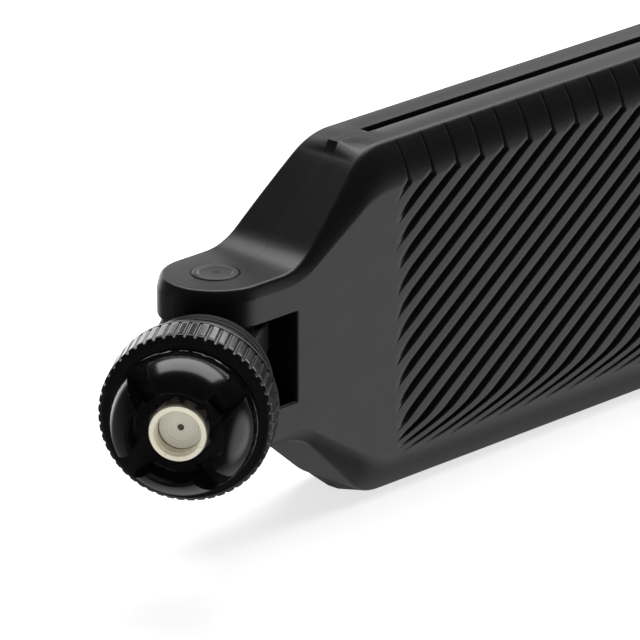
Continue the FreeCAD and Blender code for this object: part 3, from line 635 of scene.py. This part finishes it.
def shell_surface():
    """Points and faces of the front shell's outer surface, in blade axes."""
    across = rows()
    points, faces = [], []

    def add(n, s, z, keep=None):
        start = sum(len(part) for part in points)
        faces.append(grid(*n.shape, keep) + start)
        points.append(np.stack([n, s, z], axis=-1).reshape(-1, 3))

    def spread(s):
        """The rows' places where the blade is half_width(s) wide."""
        wide = half_width(s)[:, None]
        ratio = (np.abs(across) - EAR_INNER) / (HALF_WIDE - EAR_INNER)
        outer = np.sign(across) * (EAR_INNER + ratio * (wide - EAR_INNER))
        z = np.where(np.abs(across) <= EAR_INNER, across, outer)
        tip = across * wide / HALF_WIDE
        return np.where(s[:, None] > FIELD_START, tip, z)

    # neck
    s = np.array([*NECK_STATIONS, *np.arange(10, FIELD_START + 0.1, NECK_STEP)])
    z = spread(s)
    s = np.broadcast_to(s[:, None], z.shape)
    middle_s = (s[:-1, :-1] + s[1:, :-1]) / 2
    middle_row = np.broadcast_to((across[:-1] + across[1:]) / 2, middle_s.shape)
    solid = (middle_s > SLOT_FLOOR) | (np.abs(middle_row) > EAR_INNER)
    height = plain_height(s, z)
    add(height, s, z, solid)

    # ends of the ears, about the hinge
    angles = np.radians(np.linspace(0, 90, 13))[::-1]
    radius = np.broadcast_to(height[0], (len(angles), len(across)))
    n = np.maximum(radius * np.cos(angles)[:, None], PARTING)
    beside_slot = np.abs((across[:-1] + across[1:]) / 2) > EAR_INNER
    ear = np.broadcast_to(beside_slot, (len(angles) - 1, len(across) - 1))
    add(n, -radius * np.sin(angles)[:, None], np.broadcast_to(z[0], n.shape), ear)

    # ribbed field
    offsets = np.array(GROOVE_PLACES) / math.sin(RIB_SLOPE)
    offsets = np.concatenate([offsets, RIB_ROWS])
    shift = lean(across)
    base = RIB_FOOT - lean(np.array(RIB_FOOT_Z))
    first = math.floor((FIELD_START - shift.max() - base) / RIB_PITCH)
    last = math.ceil((FIELD_END - shift.min() - base) / RIB_PITCH)
    centres = base + RIB_PITCH * np.arange(first, last + 1)
    places = (centres[:, None] + offsets[None, :]).ravel()
    offset = np.tile(offsets, len(centres))
    s = np.clip(places[:, None] + shift[None, :], FIELD_START, FIELD_END)
    z = np.broadcast_to(across, s.shape)
    offset = np.broadcast_to(offset[:, None], s.shape)
    height = np.minimum(plain_height(s, z), HALF_THICK - groove(offset, s, z))
    add(height - facet_line(offset, s, z), s, z)

    # tip
    s = FIELD_END + TIP_ROUND * np.sin(np.radians(TIP_ANGLES))
    z = spread(np.minimum(s, LENGTH))
    z[0] = across
    s = np.broadcast_to(s[:, None], z.shape)
    add(plain_height(s, z), s, z)
    return np.concatenate(points), np.concatenate(faces)


def close_shell(shape):
    """Give the surface its narrow sides, the step beside the parting line and a flat back."""
    open_edges = [edge for edge in shape.edges if edge.is_boundary
                  and max(vert.co.x for vert in edge.verts) > PARTING + 1e-6]
    for height, inset in PARTING_STEPS:
        made = bmesh.ops.extrude_edge_only(shape, edges=open_edges)["geom"]
        open_edges = [part for part in made if isinstance(part, bmesh.types.BMEdge)]
        for vert in {vert for edge in open_edges for vert in edge.verts}:
            share = smoothstep(PARTING_START, PARTING_START + PARTING_FADE, vert.co.y)
            share *= 1 - smoothstep(FIELD_END - PARTING_FADE, FIELD_END, vert.co.y)
            vert.co.x = min(vert.co.x, height)
            if abs(vert.co.z) > HALF_WIDE - PARTING_DEPTH - 0.01:
                vert.co.z = math.copysign(HALF_WIDE - inset * float(share), vert.co.z)
        open_edges = [edge for edge in open_edges if edge.is_boundary]
    clean(shape, 1e-5)
    rim = [edge for edge in shape.edges if edge.is_boundary]
    bmesh.ops.triangle_fill(shape, edges=rim, use_beauty=False)
    bmesh.ops.recalc_face_normals(shape, faces=shape.faces)


def make_front_shell():
    """The front half of the blade, without its hollow and hinge holes, in blade axes."""
    points, faces = shell_surface()
    shape = from_arrays(points, faces)
    clean(shape)
    close_shell(shape)
    return from_bmesh("front_shell_skin", shape, Matrix.Identity(4))


front = make_front_shell()


# ---- blade: hollow, hinge holes ----

CAVITY_START = 16.0
CAVITY_SIDE = 20.3
CAVITY_NECK = 11.0
CAVITY_SHOULDER = 26.0
CAVITY_END = 223.0
CAVITY_CORNER = 5.0
CAVITY_DEPTH = 5.9
CHANNEL_RADIUS = 1.2
PIN_RADIUS = 2.0
SEAT_RADIUS = 3.5
SEAT_FLOOR = 10.5


def half_outline(points):
    """A loop that is symmetric about the blade's middle line."""
    return points + [(along, -across) for along, across in reversed(points)]


def shell_tools():
    """Volumes that the shells don't fill, in blade axes: the hollow, the cable's way, the hinge."""
    hollow = half_outline([
        (CAVITY_START, CAVITY_NECK), (CAVITY_SHOULDER, CAVITY_SIDE),
        (CAVITY_END - CAVITY_CORNER, CAVITY_SIDE), (CAVITY_END, CAVITY_SIDE - CAVITY_CORNER),
    ])
    channel = [(z, n) for z, n in circle(CHANNEL_RADIUS, 32)]
    shapes = [
        prism(hollow, -1, CAVITY_DEPTH),
        prism(channel, SLOT_FLOOR - 1, CAVITY_START + 1, (2, 0, 1)),
    ]
    pin = circle(PIN_RADIUS, 40)
    seat = circle(SEAT_RADIUS, 64)
    for side in (1, -1):
        pin_ends = sorted((side * (EAR_INNER - 1), side * (SEAT_FLOOR + 0.5)))
        seat_ends = sorted((side * SEAT_FLOOR, side * (EAR_OUTER + 1)))
        shapes.append(prism(pin, *pin_ends, (0, 1, 2)))
        shapes.append(prism(seat, *seat_ends, (0, 1, 2)))
    return [from_bmesh("tool", shape, Matrix.Identity(4)) for shape in shapes]


cut(front, *shell_tools())
mesh = front.data
rear_mesh = mesh.copy()
rear_mesh.transform(Matrix.Scale(-1, 4, Vector((1, 0, 0))))
rear_mesh.flip_normals()
rear = link("rear_shell_skin", rear_mesh)
for thing, node in ((front, "front_shell"), (rear, "rear_shell")):
    thing.data.transform(blade_matrix())
    smooth(thing, 40)
    piece(thing, "shell_black", "blade", node)


# ---- coupling head ----

HEAD_TURN = math.radians(38.0)
CROWN_MOUTH = 6.5
CROWN_RIM = 6.9
CROWN_BASE = 10.0
CROWN_DOME = 8.6
CROWN_FLANGE_FRONT = 4.7
CROWN_WEB = 2.6
CROWN_WEB_BORE = 4.0
CROWN_BACK_BORE = 7.6
CROWN_SPIGOT = 9.55
CROWN_ROUND = 0.22
SOCKET_APOTHEM = 4.03
NOTCH_WIDTH = 3.6
NOTCH_FLOOR = 4.1
COLLAR_TEETH = 52
COLLAR_BORE = 9.6
COLLAR_BACK_BORE = 7.0
COLLAR_BORE_END = 10.6
BEAD_RADIUS = 12.0
TOOTH_DEPTH = 0.3
# a tooth's flank lies between these distances from the middle of the gap beside it
TOOTH_FLANK = (0.13, 0.31)
# mesh lines across a gap, in millimetres, and across a tooth, as a share of the pitch
GAP_LINES = (-0.4, -0.3, -0.24, -0.18, -0.1, 0, 0.1, 0.18, 0.24, 0.3, 0.4)
TOOTH_LINES = (0.38, 0.5, 0.62)
KNURL_END = 11.32

CROWN_FRONT, CROWN_BACK = span("grip_crown", 1)
COLLAR_FRONT, COLLAR_BACK = span("knurled_collar", 1)
NUT_FRONT, NUT_BACK = span("coupling_nut", 1)
CROWN_FLANGE = radii("grip_crown").max()
COLLAR_RADIUS = radii("knurled_collar").max()


def turned(shape, angle):
    """Turn a bmesh about the plug's axis, from +X towards +Z."""
    bmesh.ops.rotate(shape, verts=shape.verts, matrix=Matrix.Rotation(-angle, 3, "Y"))
    return shape


def make_crown():
    """The domed nose round the nut, with a hexagon seat for the nut and four notches."""
    front, back, flange = CROWN_FRONT, CROWN_BACK, CROWN_FLANGE
    rim = (CROWN_RIM + 0.1, front + 0.12)
    dome = arc_points((CROWN_BASE, CROWN_FLANGE_FRONT), rim, CROWN_DOME, 20)
    outline = [
        (flange - 0.12, CROWN_FLANGE_FRONT), (CROWN_BASE + 0.04, CROWN_FLANGE_FRONT), *dome[1:],
        (CROWN_RIM - 0.02, front + 0.03), (CROWN_RIM - 0.12, front),
        (CROWN_MOUTH + 0.16, front + 0.02), (CROWN_MOUTH + 0.04, front + 0.12),
        (CROWN_MOUTH, front + 0.28), (CROWN_MOUTH, CROWN_WEB - 0.3),
        (CROWN_MOUTH - 0.3, CROWN_WEB), (CROWN_WEB_BORE, CROWN_WEB), (CROWN_WEB_BORE, NUT_BACK),
        (CROWN_BACK_BORE, NUT_BACK), (CROWN_BACK_BORE, back), (CROWN_SPIGOT, back),
        (CROWN_SPIGOT, COLLAR_FRONT), (flange, COLLAR_FRONT), (flange, CROWN_FLANGE_FRONT + 0.15),
    ]
    crown = from_bmesh("grip_crown_skin", turned(lathe(outline, 180), HEAD_TURN))
    socket = circle(SOCKET_APOTHEM / math.cos(math.pi / 6), 6)
    tools = [prism(socket, CROWN_WEB - 1, NUT_BACK + 0.001, (0, 2, 1))]
    half, inner, outer = NOTCH_WIDTH / 2, CROWN_MOUTH - 1, flange + 1
    bar = [(inner, -half), (outer, -half), (outer, half), (inner, half)]
    for quarter in range(4):
        shape = prism(bar, front - 1, NOTCH_FLOOR, (0, 2, 1))
        tools.append(turned(shape, quarter * math.pi / 2))
    cut(crown, *[from_bmesh("tool", turned(shape, HEAD_TURN)) for shape in tools])
    round_edges(crown, CROWN_ROUND, 3, 35)
    return smooth(crown, 50)


def polar(stations, angles, shape_of=None):
    """A closed ring of (radius, y) stations at every angle, as points by angle then station."""
    stations = np.array(stations, float)
    radius = np.broadcast_to(stations[:, 0], (len(angles), len(stations))).copy()
    along = np.broadcast_to(stations[:, 1], radius.shape).copy()
    if shape_of:
        radius, along = shape_of(radius, along, np.broadcast_to(angles[:, None], radius.shape))
    cosine, sine = np.cos(angles)[:, None], np.sin(angles)[:, None]
    points = np.stack([radius * cosine, along, radius * sine], axis=-1)
    a, b = np.meshgrid(np.arange(len(angles)), np.arange(len(stations)), indexing="ij")
    count = len(stations)
    here, there, next_b = a * count, (a + 1) % len(angles) * count, (b + 1) % count
    faces = np.stack([here + b, here + next_b, there + next_b, there + b], axis=-1)
    shape = from_arrays(points.reshape(-1, 3), faces.reshape(-1, 4))
    bmesh.ops.recalc_face_normals(shape, faces=shape.faces)
    return shape


def make_collar():
    """The ring with its flat-topped teeth, and the smooth bead behind them."""
    front, back, radius, end = COLLAR_FRONT, COLLAR_BACK, COLLAR_RADIUS, KNURL_END
    stations = [
        (COLLAR_BORE, front), (10.4, front), (11.22, front), (11.36, front + 0.03),
        (11.46, front + 0.1), (11.62, front + 0.26), (11.8, front + 0.44), (11.96, front + 0.6),
        (12.05, front + 0.71), (radius, front + 0.85),
        *[(radius, y) for y in np.arange(front + 1.4, end - 0.3, 0.6)],
        (radius, end - 0.2), (12.07, end - 0.08), (11.97, end), (11.8, end + 0.03),
        (11.78, end + 0.12), (11.84, end + 0.2), (11.95, end + 0.29), (BEAD_RADIUS, end + 0.45),
        (BEAD_RADIUS, end + 0.75), (11.97, back - 0.4), (11.88, back - 0.22), (11.74, back - 0.09),
        (11.55, back - 0.02), (11.35, back), (COLLAR_BACK_BORE, back),
        (COLLAR_BACK_BORE, COLLAR_BORE_END), (COLLAR_BORE, COLLAR_BORE_END),
    ]
    pitch = 2 * math.pi / COLLAR_TEETH
    marks = np.concatenate([np.array(GAP_LINES) / radius, pitch * np.array(TOOTH_LINES)])
    angles = (np.arange(COLLAR_TEETH)[:, None] * pitch + marks[None, :]).ravel()

    def teeth(r, y, angle):
        offset = np.abs((angle / pitch + 0.5) % 1 - 0.5) * pitch * radius
        floor = radius - TOOTH_DEPTH * (1 - smoothstep(*TOOTH_FLANK, offset))
        return np.where(y < KNURL_END + 0.01, np.minimum(r, floor), r), y

    return smooth(from_bmesh("knurled_collar_skin", polar(stations, angles, teeth)), 60)


NUT_FLATS = 8.0
MOUTH_RADIUS = 3.95
MOUTH_SLOPE = 4.0
NUT_CORNER = 4.5
NUT_BORE = 3.225
NUT_RELIEF = 3.45
NUT_LIP = 2.46
THREAD_END = 2.65
NUT_FLOOR = 6.15
THREAD_PITCH = 25.4 / 36
THREAD_HEIGHT = 0.14
THREAD_STEP = 0.06
# how far the turned mouth has come from its rim to the hexagon, station by station
MOUTH_SHARES = (0, 0.12, 0.35, 0.6, 0.82, 0.94)


def make_nut():
    """The hexagon nut with its turned mouth and a fine thread in its bore."""
    steps = 180
    angles = HEAD_TURN + np.arange(steps) * 2 * math.pi / steps
    sector = (angles - HEAD_TURN + math.pi / 6) % (math.pi / 3) - math.pi / 6
    apothem = NUT_FLATS / 2
    flat = apothem / np.cos(math.pi / 6 - np.abs(sector))
    outer = soft_min(flat, np.full_like(flat, NUT_CORNER), 0.08)
    radius, along = [], []

    def station(r, y):
        radius.append(np.broadcast_to(r, angles.shape))
        along.append(np.broadcast_to(y, angles.shape))

    for share in MOUTH_SHARES:
        r = MOUTH_RADIUS + (outer - MOUTH_RADIUS) * share
        station(r, NUT_FRONT + (r - MOUTH_RADIUS) * MOUTH_SLOPE + 0.02 * (share > 0))
    side = NUT_FRONT + (outer - MOUTH_RADIUS) * MOUTH_SLOPE
    station(outer - 0.01, side + 0.02)
    station(outer, side + 0.09)
    for y in (3.2, 5.0, NUT_BACK - 0.2):
        station(outer, y)
    station(outer - 0.06, NUT_BACK - 0.05)
    station(outer - 0.2, NUT_BACK)
    station(NUT_LIP, NUT_BACK)
    station(NUT_LIP, NUT_FLOOR)
    station(NUT_RELIEF, NUT_FLOOR)
    station(NUT_RELIEF, THREAD_END + 0.1)
    for y in np.arange(THREAD_END, 0.2, -THREAD_STEP):
        wave = (y / THREAD_PITCH - angles / (2 * math.pi)) % 1
        ridge = np.clip(1.35 - 2.7 * np.abs(wave - 0.5), 0, 1)
        fade = smoothstep(0.25, 0.7, y) * (1 - smoothstep(THREAD_END - 0.3, THREAD_END, y))
        station(NUT_BORE - THREAD_HEIGHT * ridge * fade, y)
    station(NUT_BORE + 0.03, NUT_FRONT + 0.12)
    station(NUT_BORE + 0.12, NUT_FRONT + 0.03)
    station(NUT_BORE + 0.24, NUT_FRONT)
    radius, along = np.stack(radius, axis=1), np.stack(along, axis=1)
    shape = polar(np.stack([radius[0], along[0]], axis=1), angles, lambda r, y, a: (radius, along))
    return smooth(from_bmesh("coupling_nut_skin", shape), 30)


piece(make_crown(), "head_black", "coupling", "grip_crown")
piece(make_collar(), "collar_black", "coupling", "knurled_collar")
piece(make_nut(), "nickel", "coupling", "coupling_nut")


# ---- base: barrel, tongue, hinge ----

BARREL_FRONT, BARREL_BACK = span("swivel_barrel", 1)
BARREL_RADIUS = 9.8
BARREL_SHOULDER = 13.0
BARREL_BORE = 3.5
BARREL_NOSE = 6.6
BARREL_FLOOR = 14.4
SEAT_BORE = 6.0
LINE_CUT = 0.14
TONGUE_FRONT = span("hinge_tongue", 1)[0]
TONGUE_SPIGOT = 5.97
TONGUE_SHOULDER = 21.5
TONGUE_HALF = 6.0
TONGUE_RADIUS = 7.4
TONGUE_SLOT = 1.5
SHOULDER_ROUND = 0.8
KNUCKLE_ROUND = 0.5
CAP_RADIUS = 3.45


def make_barrel():
    """The plain black barrel that swivels behind the collar, with two fine turned lines."""
    r, front, back = BARREL_RADIUS, BARREL_SHOULDER, BARREL_BACK
    nose, low = BARREL_NOSE, BARREL_RADIUS - LINE_CUT
    outline = [
        (BARREL_BORE, BARREL_FRONT), (nose - 0.1, BARREL_FRONT), (nose, BARREL_FRONT + 0.1),
        (nose, front), (r - 0.5, front), (r - 0.25, front + 0.06), (r - 0.07, front + 0.24),
        (r, front + 0.5), (r, front + 1.1), (low, front + 1.18), (low, front + 1.36),
        (r, front + 1.44), (r, back - 1.3), (low, back - 1.22), (low, back - 1.04),
        (r, back - 0.96), (r, back - 0.12), (r - 0.12, back), (SEAT_BORE, back),
        (SEAT_BORE, BARREL_FLOOR), (BARREL_BORE, BARREL_FLOOR),
    ]
    return smooth(from_bmesh("swivel_barrel_skin", lathe(outline, 144)), 40)


def make_tongue():
    """Flange, tongue and knuckle in one piece, with the slot that lets the cable bend."""
    r, y = BARREL_RADIUS, BARREL_BACK + 0.03
    corner = arc_points(
        (r, TONGUE_SHOULDER - SHOULDER_ROUND), (r - SHOULDER_ROUND, TONGUE_SHOULDER),
        SHOULDER_ROUND, 6)
    flange = from_bmesh("hinge_tongue_skin", lathe([
        (TONGUE_SLOT, TONGUE_FRONT), (TONGUE_SPIGOT, TONGUE_FRONT), (TONGUE_SPIGOT, y),
        (r - 0.1, y), (r, y + 0.1), *corner, (TONGUE_SLOT, TONGUE_SHOULDER),
    ], 144))
    hinge = HINGE[1]
    knuckle = [(TONGUE_RADIUS * math.cos(t), hinge + TONGUE_RADIUS * math.sin(t))
               for t in np.linspace(0, math.pi, 49)]
    foot = TONGUE_SHOULDER - 1
    outline = [(TONGUE_RADIUS, foot), *knuckle, (-TONGUE_RADIUS, foot)]
    block = from_bmesh("tool", prism(outline, -TONGUE_HALF, TONGUE_HALF, (0, 1, 2)))
    round_edges(block, KNUCKLE_ROUND, 3, 50)
    join = flange.modifiers.new("join", "BOOLEAN")
    join.operation = "UNION"
    join.solver = "EXACT"
    join.object = block
    bpy.context.view_layer.update()
    settle(flange)
    bpy.data.objects.remove(block)
    half, side = TONGUE_SLOT, 20
    low, high = hinge - 6, hinge + TONGUE_RADIUS + 1
    slot = [(-half, low), (side, low), (side, high), (-half, high)]
    tools = [
        prism(circle(half, 40), BARREL_BACK - 3, hinge, (0, 2, 1)),
        prism(circle(PIN_RADIUS + 0.05, 48, (0, hinge)), -TONGUE_HALF - 1, TONGUE_HALF + 1,
              (0, 1, 2)),
        prism(slot, -half, half, (0, 1, 2)),
    ]
    cut(flange, *[from_bmesh("tool", shape) for shape in tools])
    return smooth(flange, 30)


def make_caps():
    """Two round covers over the hinge pins' heads, with a shallow dish and a small pin mark."""
    outer = span("hinge_caps", 2)[1]
    inner = node_points("hinge_caps")[:, 2]
    inner = inner[inner > 0].min()
    outline = [
        (0.0, inner), (CAP_RADIUS - 0.02, inner), (CAP_RADIUS, outer - 0.45), (3.41, outer - 0.3),
        (3.3, outer - 0.14), (3.1, outer - 0.03), (2.9, outer), (2.6, outer), (2.45, outer - 0.04),
        (2.3, outer - 0.14), (0.7, outer - 0.2), (0.55, outer - 0.3), (0.0, outer - 0.32),
    ]
    cap = lathe(outline, 72)
    bmesh.ops.rotate(cap, verts=cap.verts, matrix=Matrix.Rotation(math.pi / 2, 3, "X"))
    other = bmesh.ops.duplicate(cap, geom=cap.verts[:] + cap.edges[:] + cap.faces[:])["geom"]
    copies = [part for part in other if isinstance(part, bmesh.types.BMVert)]
    bmesh.ops.rotate(cap, verts=copies, matrix=Matrix.Rotation(math.pi, 3, "X"))
    bmesh.ops.translate(cap, verts=cap.verts, vec=Vector(HINGE))
    return smooth(from_bmesh("hinge_caps_skin", cap), 30)


def make_cable_bend():
    """The cable across the hinge, from the base to the blade, bent to the angle the blade is folded
    to.
    """
    low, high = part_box("coax_lower")
    radius = (high.x - low.x) / 2 / MM
    start = high.y / MM
    reach = HINGE[1] - start
    bend = reach / math.tan(FOLD / 2)
    steps, sides = 24, 24
    points = []
    for turn in np.linspace(0, FOLD, steps + 1):
        centre = np.array([bend - bend * math.cos(turn), start + bend * math.sin(turn), 0])
        across = np.array([math.cos(turn), -math.sin(turn), 0])
        for angle in np.arange(sides) * 2 * math.pi / sides:
            spoke = across * math.cos(angle) + np.array([0, 0, 1]) * math.sin(angle)
            points.append(centre + radius * spoke)
    faces = []
    for row in range(0, steps * sides, sides):
        for j in range(sides):
            beside = (j + 1) % sides
            faces.append((row + j, row + sides + j, row + sides + beside, row + beside))
    faces += [tuple(range(sides)), tuple(range(steps * sides, (steps + 1) * sides))]
    shape = from_arrays(points, faces)
    bmesh.ops.recalc_face_normals(shape, faces=shape.faces)
    cable = smooth(from_bmesh("coax_hinge_skin", shape))
    dress(cable, "cable")
    # points a little inside the two ends, where the cable meets the base and the blade, are worked
    # out but not used
    begin, end = np.array([0, start, 0]), HINGE + BLADE_AXES[1] * reach
    inset = (end - begin) / np.linalg.norm(end - begin) * (radius * math.sin(FOLD / 2) + 0.1)
    begin, end = tuple((begin + inset) * MM), tuple((end - inset) * MM)
    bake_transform(cable)
    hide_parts("coax_hinge")


piece(make_barrel(), "base_black", "base", "swivel_barrel")
piece(make_tongue(), "base_black", "base", "hinge_tongue")
piece(make_caps(), "base_black", "blade", "hinge_caps")
make_cable_bend()


# ---- CAD nodes that show as they are ----

NODE_SLOTS = {
    "outer_contact_sleeve": "pale_plate", "dielectric": "ptfe", "centre_contact": "pale_plate",
    "face_gasket": "silicone", "nut_snap_ring": "steel", "swivel_spindle": "nickel",
    "crimp_ferrule": "nickel", "spindle_clip": "steel", "coax_lower": "cable",
    "swivel_washer": "nylon", "friction_ring": "nitrile", "hinge_pins": "steel",
    "friction_washers": "nylon", "antenna_board": "board", "front_traces": "copper",
    "rear_traces": "copper", "feed_solder": "solder", "coax_upper": "cable",
    "heat_shrink": "shrink", "foam_pads": "foam",
}
for name, slot in NODE_SLOTS.items():
    dress(frame["nodes"][name], slot)


# ---- floor, light, camera ----

AZIMUTH = math.radians(9.0)
ELEVATION = math.radians(20.0)
DISTANCE = 1.0
LENS = 420.0
SENSOR = 36.0
CLIP = (0.01, 20.0)
AIM = Vector((0.0195, 0.0, 0.0175))

FLOOR_HALF = 3.0
FLOOR_COLOUR = (0.93, 0.93, 0.93, 1)
FLOOR_ROUGHNESS = 0.9
FLOOR_GLOW = 0.7

WHITE = (1, 1, 1, 1)
STUDIO_BASE = 0.03
# what the studio mirrors: a patch's direction, where it starts, where it is full, its strength
STUDIO_PATCHES = (
    ((0.0, 0.94, 0.34), 0.6, 0.97, 0.08),
    ((0.28, 0.93, 0.2), 0.9, 0.98, 3.0),
    ((-0.48, 0.87, 0.0), 0.9, 0.98, 2.0),
    ((0.89, 0.28, -0.36), 0.87, 0.97, 1.25),
    ((0.3, 0.75, -0.6), 0.6, 0.95, 0.15),
    ((-0.75, 0.3, -0.6), 0.55, 0.95, 0.1),
    ((0.1, 0.25, -0.96), 0.75, 0.98, 0.3),
)
# the two lamps: place, target and size in metres, and power in watts
OVERHEAD_LAMP = ((0.05, 0.5, 0.85), (0.03, 0.05, 0), (1.3, 0.6), 9.5)
FRONT_LAMP = ((-0.06, -1.0, 0.05), (0.0, 0.0, 0), (0.14, 0.14), 6.0)


def make_floor():
    mesh = bpy.data.meshes.new("floor")
    half, z = FLOOR_HALF, cad_low.z
    corners = [(-half, -half, z), (half, -half, z), (half, half, z), (-half, half, z)]
    mesh.from_pydata(corners, [], [(0, 1, 2, 3)])
    floor = link("floor", mesh)
    material = bpy.data.materials.new("floor")
    material.use_nodes = True
    shader = material.node_tree.nodes["Principled BSDF"]
    shader.inputs["Base Color"].default_value = FLOOR_COLOUR
    shader.inputs["Roughness"].default_value = FLOOR_ROUGHNESS
    shader.inputs["Specular IOR Level"].default_value = 0.0
    shader.inputs["Emission Color"].default_value = WHITE
    shader.inputs["Emission Strength"].default_value = FLOOR_GLOW
    mesh.materials.append(material)
    floor.visible_glossy = False


def make_world():
    """A dark studio with soft bright patches to reflect. The camera sees plain white instead."""
    world = bpy.data.worlds.new("studio")
    scene.world = world
    world.use_nodes = True
    tree = world.node_tree
    where = tree.nodes.new("ShaderNodeTexCoord").outputs["Generated"]
    light = tree.nodes.new("ShaderNodeValue")
    light.outputs[0].default_value = STUDIO_BASE
    total = light.outputs[0]
    for direction, start, full, strength in STUDIO_PATCHES:
        along = tree.nodes.new("ShaderNodeVectorMath")
        along.operation = "DOT_PRODUCT"
        tree.links.new(where, along.inputs[0])
        along.inputs[1].default_value = Vector(direction).normalized()
        patch = tree.nodes.new("ShaderNodeMapRange")
        patch.interpolation_type = "SMOOTHSTEP"
        for socket, value in zip(patch.inputs[1:5], (start, full, 0.0, strength)):
            socket.default_value = value
        tree.links.new(along.outputs["Value"], patch.inputs["Value"])
        total = join(tree, "ADD", total, patch.outputs["Result"])
    seen = tree.nodes.new("ShaderNodeLightPath").outputs["Is Camera Ray"]
    tree.links.new(join(tree, "MAXIMUM", total, seen), tree.nodes["Background"].inputs["Strength"])
    tree.nodes["Background"].inputs["Color"].default_value = WHITE


def join(tree, operation, first, second):
    node = tree.nodes.new("ShaderNodeMath")
    node.operation = operation
    tree.links.new(first, node.inputs[0])
    tree.links.new(second, node.inputs[1])
    return node.outputs["Value"]


def area_light(name, place, target, size, power, mirrored=True):
    """A rectangular lamp. One that isn't mirrored lights the pieces without a glint on them."""
    data = bpy.data.lights.new(name, "AREA")
    data.shape = "RECTANGLE"
    data.size, data.size_y = size
    data.energy = power
    light = link(name, data)
    light.location = place
    light.rotation_euler = (Vector(target) - Vector(place)).to_track_quat("-Z", "Y").to_euler()
    light.visible_glossy = mirrored


def make_camera():
    data = bpy.data.cameras.new("camera")
    data.lens = LENS
    data.sensor_width = SENSOR
    data.clip_start, data.clip_end = CLIP
    camera = link("camera", data)
    level = math.cos(ELEVATION)
    back = Vector((math.sin(AZIMUTH) * level, -math.cos(AZIMUTH) * level, math.sin(ELEVATION)))
    camera.location = AIM + back * DISTANCE
    camera.rotation_euler = (-back).to_track_quat("-Z", "Y").to_euler()
    scene.camera = camera


make_floor()
make_world()
area_light("overhead", *OVERHEAD_LAMP)
area_light("front", *FRONT_LAMP, mirrored=False)
make_camera()
scene.view_settings.view_transform = "Standard"
